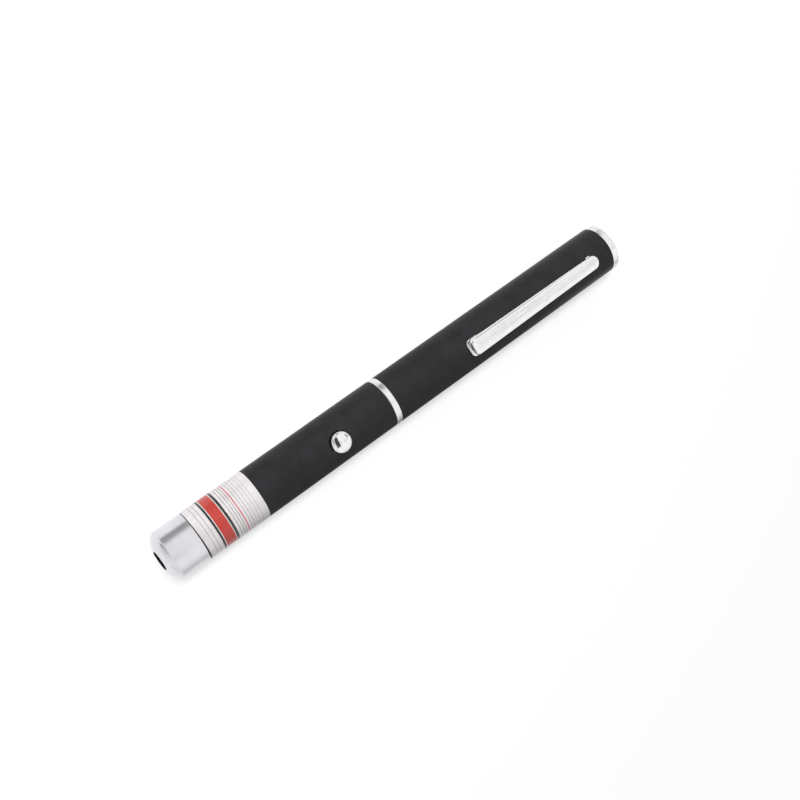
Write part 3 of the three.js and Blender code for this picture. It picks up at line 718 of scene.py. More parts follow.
def label_strip():
    bm = bmesh.new()
    inner, outer = RADIUS - LABEL_THICKNESS, RADIUS
    corners = [bm.verts.new((x, 0, -radius)) for x, radius in
               ((label_back, inner), (label_back, outer), (label_front, outer), (label_front, inner))]
    edges = [bm.edges.new((corners[i], corners[(i + 1) % 4])) for i in range(4)]
    bmesh.ops.bevel(bm, geom=[corners[1], corners[2]], offset=0.04 * MM, offset_type="OFFSET", segments=3,
                    profile=0.5, affect="VERTICES", material=-1)
    bmesh.ops.rotate(bm, verts=bm.verts, cent=(0, 0, 0), matrix=Matrix.Rotation(LABEL_GAP / 2, 3, "X"))
    bmesh.ops.spin(bm, geom=bm.verts[:] + bm.edges[:], cent=(0, 0, 0), axis=(1, 0, 0),
                   angle=math.tau - LABEL_GAP, steps=STEPS, use_merge=False)
    bmesh.ops.holes_fill(bm, edges=[edge for edge in bm.edges if edge.is_boundary])
    middle = (label_back + label_front) / 2
    for vert in bm.verts:
        if vert.co.x > middle:
            vert.co.x -= LABEL_SKEW * vert.co.y / RADIUS
    bmesh.ops.translate(bm, verts=bm.verts, vec=(0, 0, AXIS_Z))
    return finish_mesh("label_band", bm, foil)


belongs(label_strip(), "front_half", "label_foil", "label_band")

# %% [markdown]
# The threaded bush joins the halves. A thread is a V that climbs as it turns: the spin takes a step
# along the axis at each stage, so neighbouring turns meet and merge. Planes trim both ends. A ring
# of V grooves would be simpler, but it shows as soon as the pen is pulled apart.

# %% Thread
PITCH = 1.0 * MM
THREAD_DEPTH = 0.45 * MM
THREAD_STEPS = 72
THREAD_MERGE = 1e-6
PILOT_LENGTH = 2.25 * MM
PILOT_STEP = 0.25 * MM
PILOT_CHAMFER = 0.3 * MM
THREAD_RUNOUT = 0.2 * MM
thread_back = coupler_back + PILOT_LENGTH
thread_front = ring_back - THREAD_RUNOUT


def thread_skin(back, front, crest, root):
    """A V thread between two planes, as a bmesh that is open at both ends."""
    turns = math.ceil((front - back) / PITCH) + 2
    start = back - PITCH
    bm = bmesh.new()
    shape = ((0, root), (0.06, root), (0.44, crest), (0.56, crest), (0.94, root), (1, root))
    points = [bm.verts.new((start + share * PITCH, 0, radius)) for share, radius in shape]
    for first, second in zip(points, points[1:]):
        bm.edges.new((first, second))
    bmesh.ops.spin(bm, geom=bm.verts[:] + bm.edges[:], cent=(0, 0, 0), axis=(1, 0, 0),
                   dvec=(PITCH / THREAD_STEPS, 0, 0), angle=math.tau * turns, steps=THREAD_STEPS * turns,
                   use_merge=False)
    bmesh.ops.remove_doubles(bm, verts=bm.verts, dist=THREAD_MERGE)
    for plane_x, outward in ((back, -1), (front, 1)):
        bmesh.ops.bisect_plane(bm, geom=bm.verts[:] + bm.edges[:] + bm.faces[:], dist=1e-8,
                               plane_co=(plane_x, 0, 0), plane_no=(outward, 0, 0), clear_outer=True)
    return bm


# %% [markdown]
# The rest of the bush is drawn out of the thread's two open rims: each is extruded and taken to the
# next radius and station, like the passes of a lathe tool, until both reach the bore and are bridged.
# So the thread runs out into the plain parts without a seam.

# %% Threaded bush


def drawn_rim(bm, edges, radius, x=None):
    """Extrudes a rim, takes it to another radius (and station), and gives the new rim's edges."""
    made = bmesh.ops.extrude_edge_only(bm, edges=edges)["geom"]
    for vert in (item for item in made if isinstance(item, bmesh.types.BMVert)):
        scale = radius / math.hypot(vert.co.y, vert.co.z)
        vert.co = Vector((vert.co.x if x is None else x, vert.co.y * scale, vert.co.z * scale))
    return [item for item in made if isinstance(item, bmesh.types.BMEdge)]


def rim_at(bm, x):
    """The open edges that lie at a station."""
    return [edge for edge in bm.edges
            if edge.is_boundary and all(abs(vert.co.x - x) < THREAD_MERGE for vert in edge.verts)]


def threaded_bush():
    bm = thread_skin(thread_back, thread_front, COUPLER, COUPLER - THREAD_DEPTH)
    pilot = COUPLER - PILOT_STEP
    rim = drawn_rim(bm, rim_at(bm, thread_back), pilot)
    rim = drawn_rim(bm, rim, pilot, coupler_back + PILOT_CHAMFER)
    rim = drawn_rim(bm, rim, pilot - PILOT_CHAMFER, coupler_back)
    back = drawn_rim(bm, rim, BORE)
    rim = drawn_rim(bm, rim_at(bm, thread_front), COUPLER)
    rim = drawn_rim(bm, rim, COUPLER, coupler_front)
    front = drawn_rim(bm, rim, BORE)
    bmesh.ops.bridge_loops(bm, edges=back + front)
    bmesh.ops.translate(bm, verts=bm.verts, vec=(0, 0, AXIS_Z))
    return finish_mesh("thread_coupler", bm, brass, 20)


belongs(threaded_bush(), "front_half", "brass", "thread_coupler")

# %% [markdown]
# A narrow ring fills the joint between the halves. Its corners are rounded enough to catch a bright
# line on each side, which is what makes it look like jewellery.

# %% Joint ring
joint_ring = turned(
    "joint_ring",
    [(ring_back, SOCKET), (ring_back, RADIUS), (ring_front, RADIUS), (ring_front, SOCKET)],
    {0.22 * MM: [1, 2]},
    chrome_turned,
)
belongs(joint_ring, "ring", "bright_chrome", "joint_ring")

# %% [markdown]
# The rear sleeve holds both cells. It is the same kind of tube, with a slot in its top through which
# the clip's foot passes.

# %% Rear sleeve
TAB_LENGTH = 1.2 * MM
TAB_WIDTH = 2.6 * MM
SLOT_CLEARANCE = 0.3 * MM
FOOT_FROM_TAIL = 2.2 * MM
SOCKET_ROOM = 0.3 * MM
foot_x = clip_tail + FOOT_FROM_TAIL
socket_end = coupler_back - SOCKET_ROOM


def rounded_bar(name, size, centre, radius, paint):
    """A box with rounded edges, by its size and its middle."""
    bm = bmesh.new()
    bmesh.ops.create_cube(bm, size=1)
    bmesh.ops.scale(bm, verts=bm.verts, vec=size)
    bmesh.ops.bevel(bm, geom=bm.edges[:], offset=radius, offset_type="OFFSET", segments=4,
                    profile=0.5, affect="EDGES", material=-1)
    bmesh.ops.translate(bm, verts=bm.verts, vec=centre)
    return finish_mesh(name, bm, paint)


rear_barrel = turned(
    "rear_barrel",
    [
        (rear_back, SPIGOT + FIT),
        (rear_back, RADIUS),
        (rear_front, RADIUS),
        (rear_front, SOCKET),
        (socket_end, SOCKET),
        (socket_end, BORE),
        (spigot_mouth + FIT, BORE),
        (spigot_mouth + FIT, SPIGOT + FIT),
    ],
    {0.15 * MM: [2], 0.05 * MM: [1], 0.1 * MM: [3]},
    paint_rear,
)
slot_cutter = rounded_bar(
    "slot_cutter",
    (TAB_LENGTH + 2 * SLOT_CLEARANCE, TAB_WIDTH + 2 * SLOT_CLEARANCE, RADIUS),
    (foot_x, 0, AXIS_Z + RADIUS),
    0.3 * MM,
    paint_rear,
)
drilled(rear_barrel, slot_cutter)
belongs(rear_barrel, "rear_half", "matt_black", "rear_barrel")

# %% [markdown]
# The end cap is pressed into the rear sleeve by its spigot, a short tube that also seats the spring.
# Only a thin rounded disc shows, so its outer corner gets the largest rounding of all turned pieces.

# %% End cap
CAP_FLOOR = 1.2 * MM
spring_seat = tail_end + CAP_FLOOR
tail_cap = turned(
    "tail_cap",
    [
        (tail_end, 0),
        (tail_end, RADIUS),
        (rear_back - FIT, RADIUS),
        (rear_back - FIT, SPIGOT),
        (spigot_mouth, SPIGOT),
        (spigot_mouth, BORE),
        (spring_seat, BORE),
        (spring_seat, 0),
    ],
    {0.5 * MM: [1], 0.08 * MM: [2], 0.12 * MM: [4, 5]},
    chrome_turned,
)
belongs(tail_cap, "rear_half", "bright_chrome", "tail_cap")

# %% [markdown]
# The pocket clip is pressed from sheet: a channel that tapers to a round tail and is slightly crowned on
# top. The wall stands upright at the tail and leans in more and more towards the free end, as a steep
# flank, and the press leaves a fine groove next to it on the near side. Its chrome paints shade along the
# groove's line, so the clip's sizes come first.

# %% Clip sizes and chrome
CLIP_RISE = 0.6 * MM
CLIP_DEPTH = 1.2 * MM
CLIP_SHEET = 0.5 * MM
CLIP_GAP = 0.15 * MM
CLIP_FREE_WIDTH = 5.1 * MM
CLIP_TAIL_WIDTH = 3.9 * MM
CLIP_TIP_ROUNDING = 1.4 * MM
CLIP_EDGE = 0.25 * MM
CLIP_CROWN = 0.10 * MM
FLANK_WIDTH = 0.3 * MM
FLANK_HEIGHT = 0.95 * MM
GROOVE = 0.10 * MM
LIP_OVERHANG = 0.6 * MM
LIP_GAP = 0.4 * MM
GROOVE_TAIL_INSET = 0.21 * MM
GROOVE_FREE_INSET = 0.54 * MM
clip_length = clip_front - clip_tail - LIP_OVERHANG
groove_line = (
    (clip_tail + CLIP_TAIL_WIDTH / 2, GROOVE_TAIL_INSET - CLIP_TAIL_WIDTH / 2),
    (clip_tail + clip_length - CLIP_TIP_ROUNDING, GROOVE_FREE_INSET - CLIP_FREE_WIDTH / 2),
)
chrome_clip = polished_chrome("chrome_clip", (90, 5200, 5200), 0.93, wave=0.010 * MM, groove=groove_line)
print("clip", round(clip_length / MM, 2), "mm long")

# %% [markdown]
# Seen from above the clip is one outline with round corners. Each of its points keeps its outward
# direction, so the same outline can be drawn in by a sheet's thickness or by an edge's rounding and
# still follow itself. A ring at each height and a bridge between neighbours make the walls.

# %% Outlines and rings


def arc(centre_x, centre_y, radius, start, end, steps):
    """Part of a circle, angles in degrees: each point with its outward direction, both ends included."""
    angles = [math.radians(start + (end - start) * i / steps) for i in range(steps + 1)]
    return [(centre_x + radius * math.cos(a), centre_y + radius * math.sin(a), math.cos(a), math.sin(a))
            for a in angles]


def rounded_tip(front, half_width, radius):
    """The two rounded corners of a free end."""
    x, y = front - radius, half_width - radius
    return [*arc(x, -y, radius, -90, 0, 12), *arc(x, y, radius, 0, 90, 12)]


def clip_outline():
    """The free end's two corners and the round tail."""
    tail_radius = CLIP_TAIL_WIDTH / 2
    return [
        *rounded_tip(clip_length, CLIP_FREE_WIDTH / 2, CLIP_TIP_ROUNDING),
        *arc(tail_radius, 0, tail_radius, 90, 270, 32),
    ]


def ring_at(bm, points):
    """A closed ring of edges."""
    verts = [bm.verts.new(point) for point in points]
    return [bm.edges.new((verts[i - 1], verts[i])) for i in range(len(verts))]


def lofted(bm, rings):
    """Bridges the rings one after another and closes both ends."""
    for lower, upper in zip(rings, rings[1:]):
        bmesh.ops.bridge_loops(bm, edges=lower + upper)
    for rim in (rings[0], rings[-1]):
        bmesh.ops.edgeloop_fill(bm, edges=rim)


def inset_ring(bm, outline, inset, z):
    """The outline drawn in along its own directions, at a height."""
    return ring_at(bm, [(x - inset * nx, y - inset * ny, z) for x, y, nx, ny in outline])


def rounding(radius, steps=6):
    """Insets and rises that follow a quarter circle from upright to level."""
    angles = [math.pi / 2 * i / steps for i in range(steps + 1)]
    return [(radius * (1 - math.cos(a)), radius * math.sin(a)) for a in angles]


# %% [markdown]
# The wall's section changes along the clip: a rounded edge at the tail, a leaning flank with a groove
# at the free end. Both have as many points, so any section between is a blend of the two. Under the
# free end the fold stands open on the near side and is pressed shut on the far one.

# %% Flank and fold
FLANK_SOFT_LOW = 0.08 * MM
FLANK_SOFT_HIGH = 0.16 * MM
GROOVE_HALF = 0.08 * MM
FOLD_SHUT_Y = 1.3 * MM
FOLD_OPEN_Y = 0.3 * MM


def eased(first, corner, last, steps=3):
    """Points that round a corner between two others."""
    return [
        tuple((1 - t) ** 2 * a + 2 * t * (1 - t) * b + t * t * c for a, b, c in zip(first, corner, last))
        for t in (i / steps for i in range(steps + 1))
    ]


def eased_step(value, low, high):
    """Goes smoothly from 0 at low to 1 at high."""
    t = min(max((value - low) / (high - low), 0.0), 1.0)
    return t * t * (3 - 2 * t)


def open_side(y):
    """1 where the fold at the free end stands open, 0 where it is pressed shut."""
    return eased_step(y, FOLD_SHUT_Y, FOLD_OPEN_Y)


def flank_section():
    """Insets and drops below the top, from the wall over the flank and a fine groove to the level."""
    length = math.hypot(FLANK_WIDTH, FLANK_HEIGHT)
    inward, downward = FLANK_WIDTH / length, FLANK_HEIGHT / length
    low, high = (0, FLANK_HEIGHT), (FLANK_WIDTH, 0)
    below_low = (0, FLANK_HEIGHT + FLANK_SOFT_LOW)
    above_low = (inward * FLANK_SOFT_LOW, FLANK_HEIGHT - downward * FLANK_SOFT_LOW)
    below_high = (FLANK_WIDTH - inward * FLANK_SOFT_HIGH, downward * FLANK_SOFT_HIGH)
    level = FLANK_WIDTH + FLANK_SOFT_HIGH
    return [
        *eased(below_low, low, above_low),
        *eased(below_high, high, (level, 0)),
        (level + GROOVE_HALF, GROOVE),
        (level + 2 * GROOVE_HALF, 0),
    ]


# %% [markdown]
# Now the arm: rings go down the inside of the channel, round its lower rim, up the wall, over the edge
# or the flank, and in across the crown towards a spine. A grid bent to shape would also do, but its
# rows wouldn't follow the round ends. The finished arm is tilted, because it rises to its free end.

# %% Clip arm
FOLD_START = 2.2 * MM
FOLD_FULL = 1.2 * MM
CROWN_STEPS = 8
CROWN_REACH_SHARE = 0.96


def clip_arm():
    """The channel, lying along X from its tail, with the underside open and a gap over the lip."""
    outline = clip_outline()
    tail_radius = CLIP_TAIL_WIDTH / 2
    top_z = CLIP_DEPTH - CLIP_CROWN
    flank = flank_section()
    edge = [(inset, CLIP_EDGE - rise) for inset, rise in rounding(CLIP_EDGE, len(flank) - 1)]
    bm = bmesh.new()
    rings = [
        inset_ring(bm, outline, CLIP_SHEET, top_z - CLIP_SHEET),
        inset_ring(bm, outline, CLIP_SHEET, 0),
        inset_ring(bm, outline, 0, 0),
    ]
    for vert in {vert for rim in rings[1:] for side in rim for vert in side.verts}:
        near_end = eased_step(vert.co.x, clip_length - FOLD_START, clip_length - FOLD_FULL)
        vert.co.z = LIP_GAP * near_end * open_side(vert.co.y)
    for row, ((edge_in, edge_drop), (flank_in, flank_drop)) in enumerate(zip(edge, flank)):
        points = []
        for x, y, nx, ny in outline:
            share = max(0.0, (x - tail_radius) / (clip_length - tail_radius))
            kept = max(0.0, -ny) if row == len(flank) - 2 else 1
            inset = edge_in + (flank_in - edge_in) * share
            drop = edge_drop + (flank_drop * kept - edge_drop) * share
            points.append((x - inset * nx, y - inset * ny, top_z - drop))
        rings.append(ring_at(bm, points))
    spine = [(min(max(x, tail_radius), clip_length - tail_radius), 0) for x, _, _ in points]
    for step in range(1, CROWN_STEPS + 1):
        share = CROWN_REACH_SHARE * step / CROWN_STEPS
        rings.append(ring_at(bm, [
            (x + (to_x - x) * share, y + (to_y - y) * share, z + CLIP_CROWN * (1 - (1 - share) ** 2))
            for (x, y, z), (to_x, to_y) in zip(points, spine)
        ]))
    lofted(bm, rings)
    slope = -math.atan2(CLIP_RISE, clip_length)
    bmesh.ops.rotate(bm, verts=bm.verts, cent=(0, 0, 0), matrix=Matrix.Rotation(slope, 3, "Y"))
    bmesh.ops.translate(bm, verts=bm.verts, vec=(clip_tail, 0, AXIS_Z + RADIUS + CLIP_GAP))
    return bm


clip = finish_mesh("clip", clip_arm(), chrome_clip, PRESSED_ANGLE)
belongs(clip, "pocket_clip", "bright_chrome", "clip")

# %% [markdown]
# Under the free end the sheet is folded back, so a rounded lip pokes out in front and rests on the
# barrel. On the near side, where the fold stands open, its top drops away and the gap reads as a dark
# crescent. Here the lip is a small solid of its own, tucked under the arm.

# %% Clip lip
LIP_LENGTH = 4.0 * MM
LIP_ABOVE_RIM = 0.15 * MM
LIP_DROP = 0.45 * MM
LIP_LOW_EDGE = 0.10 * MM
LIP_TOP_EDGE = 0.28 * MM


def clip_lip():
    half = CLIP_FREE_WIDTH / 2 - FIT
    back = clip_front - LIP_LENGTH
    tip_corners = rounded_tip(clip_front, half, CLIP_TIP_ROUNDING)
    outline = [(back, -half, 0, -1), *tip_corners, (back, half, 0, 1)]
    low = AXIS_Z + RADIUS + FIT + LIP_LOW_EDGE
    high = AXIS_Z + RADIUS + CLIP_GAP + CLIP_RISE + LIP_ABOVE_RIM - LIP_TOP_EDGE
    bm = bmesh.new()
    lower = [inset_ring(bm, outline, inset, low - rise) for inset, rise in rounding(LIP_LOW_EDGE)]
    upper = [inset_ring(bm, outline, inset, high + rise) for inset, rise in rounding(LIP_TOP_EDGE)]
    for vert in {vert for rim in upper for side in rim for vert in side.verts}:
        vert.co.z -= LIP_DROP * open_side(vert.co.y)
    lofted(bm, lower[::-1] + upper)
    return finish_mesh("clip_lip", bm, chrome_clip, PRESSED_ANGLE)


belongs(clip_lip(), "pocket_clip", "bright_chrome")

# %% [markdown]
# The tail sits on a strap that follows the barrel's curve, and the foot goes down through it and the
# slot. The strap starts as a flat grid, is extruded into a sheet and only then laid on the barrel's
# circle, point by point, so its thickness stays even.

# %% Clip saddle and foot
SADDLE_LENGTH = 1.4 * MM
SADDLE_WIDTH = 4.3 * MM
SADDLE_SHEET = 0.4 * MM
SHEET_ROUNDING = 0.12 * MM


def clip_saddle():
    """A strap that hugs the barrel under the clip's tail."""
    bm = bmesh.new()
    bmesh.ops.create_grid(bm, x_segments=1, y_segments=16, size=0.5)
    bmesh.ops.scale(bm, verts=bm.verts, vec=(SADDLE_LENGTH, SADDLE_WIDTH, 1))
    made = bmesh.ops.extrude_face_region(bm, geom=bm.faces[:])["geom"]
    raised = {item for item in made if isinstance(item, bmesh.types.BMVert)}
    for vert in bm.verts:
        radius = RADIUS + FIT + (SADDLE_SHEET if vert in raised else 0)
        vert.co.z = AXIS_Z + math.sqrt(radius ** 2 - vert.co.y ** 2)
    bmesh.ops.recalc_face_normals(bm, faces=bm.faces)
    sharp = [edge for edge in bm.edges if edge.calc_face_angle(0) > math.radians(60)]
    bmesh.ops.bevel(bm, geom=sharp, offset=SHEET_ROUNDING, offset_type="OFFSET", segments=3,
                    profile=0.5, affect="EDGES", material=-1)
    bmesh.ops.translate(bm, verts=bm.verts, vec=(foot_x, 0, 0))
    return finish_mesh("clip_saddle", bm, chrome_clip, PRESSED_ANGLE)


belongs(clip_saddle(), "pocket_clip", "bright_chrome")
foot_bottom = AXIS_Z + BORE + SLOT_CLEARANCE
foot_top = AXIS_Z + RADIUS + CLIP_GAP + CLIP_DEPTH - CLIP_CROWN - CLIP_SHEET + FIT
clip_foot = rounded_bar("clip_foot", (TAB_LENGTH, TAB_WIDTH, foot_top - foot_bottom),
                        (foot_x, 0, (foot_top + foot_bottom) / 2), SHEET_ROUNDING, chrome_clip)
belongs(clip_foot, "pocket_clip", "bright_chrome")

# %% [markdown]
# The push button is a small turned cap with a flange that keeps it in the barrel. It has a straight
# side and a low dome, half of a flat ellipse, that rolls over into it. A bevelled disc would be
# flatter on top, and the dome is what squeezes the whole room into small dark streaks.

# %% Push button
BUTTON_RADIUS = 2.85 * MM
DOME_HEIGHT = 1.3 * MM
DOME_STEPS = 24
FLANGE_THICKNESS = 0.7 * MM
flange_radius = (button_high.x - button_low.x) / 2
flange_bottom = button_low.z - AXIS_Z
button_top = button_high.z - AXIS_Z
dome_base = button_top - DOME_HEIGHT
dome = [(dome_base + DOME_HEIGHT * math.sin(a), BUTTON_RADIUS * math.cos(a))
        for a in (math.pi / 2 * i / DOME_STEPS for i in range(DOME_STEPS))]
button_cap = turned_upright(
    "button_cap",
    [
        (flange_bottom, 0),
        (flange_bottom, flange_radius),
        (flange_bottom + FLANGE_THICKNESS, flange_radius),
        (flange_bottom + FLANGE_THICKNESS, BUTTON_RADIUS),
        *dome,
        (button_top, 0),
    ],
    {0.1 * MM: [1, 2]},
    chrome_button,
    BUTTON_X,
    SMALL_STEPS,
)
belongs(button_cap, "button", "bright_chrome", "button_cap")

# %% [markdown]
# Two slim cells lie in line, nubs towards the nose. A cell is a drawn steel can in a tight plastic
# jacket that leaves the metal bare at both ends. The jacket is a mask on the side wall, and not a
# shell of its own, because it is thinner than the rounding of the can's shoulders.

# %% Cell jacket
COLLAR_SHARE = 0.72
cell_low, cell_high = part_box("battery_front")
CELL_RADIUS = (cell_high.y - cell_low.y) / 2


def cell_jacket(name, back, front):
    """A plain two-tone jacket between two stations, bare steel elsewhere."""
    made, g = material(name)
    x, _, _ = g.xyz()
    scuff = g.noise(1.0, 4.0, 0.65, vector=g.stretched((300, 1500, 1500)))
    cloud = g.noise(240, 2.0)
    half = (front - back) / 2
    end = abs(x - (back + front) / 2).step(half - 0.1 * MM, half, 1.0, 0.0)
    jacket = g.from_axis().step(CELL_RADIUS - 0.06 * MM, CELL_RADIUS - 0.03 * MM) * end
    collar = (x - (back + (front - back) * COLLAR_SHARE)).step(-0.02 * MM, 0.02 * MM)
    tone = g.mix(collar, g.mix(cloud, (0.030, 0.075, 0.14, 1), (0.038, 0.09, 0.16, 1)), grey(0.62))
    tone = g.mix(scuff.step(0.6, 0.75) * 0.35, tone, grey(0.4))
    metal = g.mix(cloud.step(0.35, 0.65), grey(0.60), grey(0.50))
    g.principled(
        Base_Color=g.mix(jacket, metal, tone),
        Metallic=1 - jacket * (1 - collar * 0.6),
        Roughness=scuff.step(0.3, 0.8, 0.24, 0.42),
        Normal=g.bump(scuff, 0.004 * MM, 0.6),
    )
    return made


# %% [markdown]
# One round profile gives the can its sloped shoulders, the groove round the nub and the dished base.
# The side and the nub get a large radius and the rims a small one, so each has its own corners.

# %% Cells
NUB_RADIUS = 1.9 * MM
NUB_HEIGHT = 1.0 * MM
CELL_SHOULDER = 0.5 * MM
CELL_GROOVE = 0.25 * MM


def cell(node):
    back, front = span(node)
    top = front - NUB_HEIGHT
    edge = CELL_RADIUS - CELL_SHOULDER
    profile = [
        (back + CELL_GROOVE, 0),
        (back + CELL_GROOVE, edge - 2 * CELL_GROOVE),
        (back, edge - CELL_GROOVE),
        (back, edge),
        (back + CELL_SHOULDER, CELL_RADIUS),
        (top - CELL_SHOULDER, CELL_RADIUS),
        (top, edge),
        (top, edge - CELL_GROOVE),
        (top - CELL_GROOVE, edge - 2 * CELL_GROOVE),
        (top - CELL_GROOVE, NUB_RADIUS + CELL_GROOVE),
        (top, NUB_RADIUS),
        (front, NUB_RADIUS),
        (front, 0),
    ]
    rounds = {0.3 * MM: [4, 5], 0.08 * MM: [2, 3, 6, 7], 0.25 * MM: [11]}
    paint = cell_jacket(node, back + 2 * CELL_SHOULDER, top - CELL_SHOULDER)
    return belongs(turned(node, profile, rounds, paint, SMALL_STEPS), "cells", "cell_jacket", node)


cell("battery_front")
cell("battery_rear")

# %% [markdown]
# The spring in the end cap is one steel wire wound as a cone, wide on the cap and narrow on the cell.
# A small circle of points is carried along the helix, in a plane through the pen's axis, and bridged.

# %% Tail spring
WIRE_RADIUS = 0.3 * MM
SPRING_WIDE = 4.6 * MM
SPRING_NARROW = 2.6 * MM
SPRING_TURNS = 3
SPRING_STEPS = 40
WIRE_SIDES = 12
SPRING_ANGLE = 50


def tail_spring():
    low, high = span("tail_spring")
    start, end = low + WIRE_RADIUS, high - WIRE_RADIUS
    bm = bmesh.new()
    rings = []
    for i in range(SPRING_TURNS * SPRING_STEPS + 1):
        share = i / (SPRING_TURNS * SPRING_STEPS)
        turn = Matrix.Rotation(math.tau * i / SPRING_STEPS, 3, "X")
        coil = SPRING_WIDE + (SPRING_NARROW - SPRING_WIDE) * share
        centre = Vector((start + (end - start) * share, coil, 0))
        circle = [centre + WIRE_RADIUS * Vector((math.sin(a), math.cos(a), 0))
                  for a in (math.tau * k / WIRE_SIDES for k in range(WIRE_SIDES))]
        rings.append(ring_at(bm, [turn @ point for point in circle]))
    lofted(bm, rings)
    bmesh.ops.translate(bm, verts=bm.verts, vec=(0, 0, AXIS_Z))
    return finish_mesh("tail_spring", bm, spring_steel, SPRING_ANGLE)


belongs(tail_spring(), "rear_half", "steel", "tail_spring")

# %% [markdown]
# Behind the aperture sits the collimating lens, held in its slotted brass holder by a ring. Both are
# turned, and the lens is flat behind with a shallow dome in front, a piece of a large sphere.

# %% Lens and ring
LENS_EDGE = 1.3 * MM
LENS_ARC_STEPS = 16
LENS_RING_BORE = 2.5 * MM


def domed_lens(node, edge, paint, slot):
    """Flat behind, domed in front. The sag and radius come from the CAD box."""
    back, front = span(node)
    low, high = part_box(node)
    radius = (high.y - low.y) / 2
    sag = front - back - edge
    sphere = (radius ** 2 + sag ** 2) / (2 * sag)
    radii = [radius * (1 - i / LENS_ARC_STEPS) for i in range(LENS_ARC_STEPS + 1)]
    curve = [(front - sphere + math.sqrt(sphere ** 2 - r ** 2), r) for r in radii]
    lens = turned(node, [(back, 0), (back, radius), *curve], {0.05 * MM: [1]}, paint, LENS_STEPS)
    return belongs(lens, "front_half", slot, node)


domed_lens("collimating_lens", LENS_EDGE, clear_glass, "clear_glass")
ring_low, ring_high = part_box("lens_ring")
ring_radius = (ring_high.y - ring_low.y) / 2
lens_ring = turned(
    "lens_ring",
    [
        (ring_low.x, LENS_RING_BORE),
        (ring_low.x, ring_radius),
        (ring_high.x, ring_radius),
        (ring_high.x, LENS_RING_BORE),
    ],
    {0.15 * MM: [2, 3]},
    steel,
    LENS_STEPS,
)
belongs(lens_ring, "front_half", "steel", "lens_ring")

# %% [markdown]
# The rest of the inside stays as the CAD made it, because it hardly shows and its shapes are already
# right. These meshes aren't touched: each only gets the finish of the real piece, such as turned
# brass for the laser's housing and green laminate for the board.

# %% Finishes of the CAD pieces that stay
FINISHES = {
    "module_housing": brass,
    "pump_diode": steel,
    "crystal_mount": brass,
    "laser_crystal": crystal,
    "expander_lens": clear_glass,
    "infrared_filter": tinted_glass,
    "lens_holder": brass,
    "circuit_board": board,
    "board_cradle": black_plastic,
    "switch_body": black_plastic,
    "switch_plunger": black_plastic,
    "driver_chip": black_plastic,
    "trim_pot": blue,
    "filter_capacitor": amber,
    "contact_disc": board,
    "contact_stud": brass,
}
for node, finish in FINISHES.items():
    mesh = bpy.data.objects[node].data
    mesh.materials.clear()
    mesh.materials.append(finish)
print(len(FINISHES), "CAD pieces finished")

# %% [markdown]
# A shader can ask what kind of ray has met it. So the camera may see plain white where metal mirrors
# a studio, and neither changes how much light falls on the paint. Levels are greys from 0 to 1.

# %% Kinds of ray


def ray_is(g, *kinds):
    """1 where the ray is of one of these kinds."""
    path = g.tree.nodes.new("ShaderNodeLightPath")
    seen = Value(g, path.outputs[kinds[0]])
    for kind in kinds[1:]:
        seen = seen.most(Value(g, path.outputs[kind]))
    return seen


def diffuse(g, level):
    return g.node("ShaderNodeBsdfDiffuse", sockets={"Color": grey(level)})


def glow(g, level):
    return g.node("ShaderNodeEmission", sockets={"Color": grey(1.0), "Strength": level})


def sky(g, level):
    return g.node("ShaderNodeBackground", sockets={"Color": grey(1.0), "Strength": level})


# %% [markdown]
# The pen lies on a white sheet. The camera sees a floor that is part glow and part matt, so it is
# white and still keeps a soft shadow, and plain white further out, where the lamp's light falls off.
# The metal mirrors a sheet that ends on the near side and carries a painted shadow of the pen on the far
# side, darkest close by the sleeves. Ordinary light bounces off the sheet evenly.

# %% Floor
FLOOR_HALF = 3.0
SHADED_SHARE = 0.47
SEEN_LEVEL = 1.05
SHADOW_REACH = 0.12
PLAIN_FROM = 0.30
SHEET_EDGE = 0.11
EDGE_SOFT = 0.03

floor_mesh = bpy.data.meshes.new("floor")
bm = bmesh.new()
bmesh.ops.create_grid(bm, x_segments=1, y_segments=1, size=FLOOR_HALF)
bm.to_mesh(floor_mesh)
bm.free()
floor = bpy.data.objects.new("floor", floor_mesh)
scene.collection.objects.link(floor)


def white_floor():
    made, g = material("white_floor")
    x, y, _ = g.xyz()
    away = (x * x + y * y).maths("SQRT")
    near = g.node("ShaderNodeAddShader",
                  sockets={0: diffuse(g, SHADED_SHARE), 1: glow(g, SEEN_LEVEL - SHADED_SHARE)})
    seen = g.blend(away.step(SHADOW_REACH, PLAIN_FROM), near, glow(g, 1.0))
    sheet = y.step(-SHEET_EDGE - EDGE_SOFT, -SHEET_EDGE + EDGE_SOFT, 0.38, 1.0)
    # Painted shadow of the pen on the far side, seen only in what the metal mirrors.
    far_side = y.step(0.020, 0.045) * x.step(0.070, 0.095, 1.0, 0.0)
    painted_pen_shadow = y.step(0.0, 0.010) * y.step(0.030, 0.065, 1.0, 0.0)
    painted_pen_shadow = painted_pen_shadow * x.step(-0.090, -0.040) * x.step(0.036, 0.058, 1.0, 0.0)
    level = sheet * (1 - far_side * 0.24) * (1 - painted_pen_shadow * 0.68)
    mirrored = g.blend(level, diffuse(g, 0.0), diffuse(g, 0.95))
    other = g.blend(ray_is(g, "Is Glossy Ray"), diffuse(g, 0.8), mirrored)
    g.surface(g.blend(ray_is(g, "Is Camera Ray", "Is Transmission Ray"), other, seen))
    return made


floor_mesh.materials.append(white_floor())
print("white sheet of", 2 * FLOOR_HALF, "m")

# %% [markdown]
# Chrome only looks like chrome if there is something to mirror. The room is white, with soft dark
# shapes where a studio has them: a table's edge low on the near side, which draws the grey streak
# along the nozzle, a fainter bar overhead, dimmer far and front sides, small marks that speckle the
# clip, and round the camera a dark lens, a stand and a hand, which show in the button's dome. Each is
# a mask on the ray's direction: along runs towards the nose, and lean is the angle from straight up,
# in degrees, growing towards the far side. Ordinary light comes from a plain sky, brighter on the
# near side.

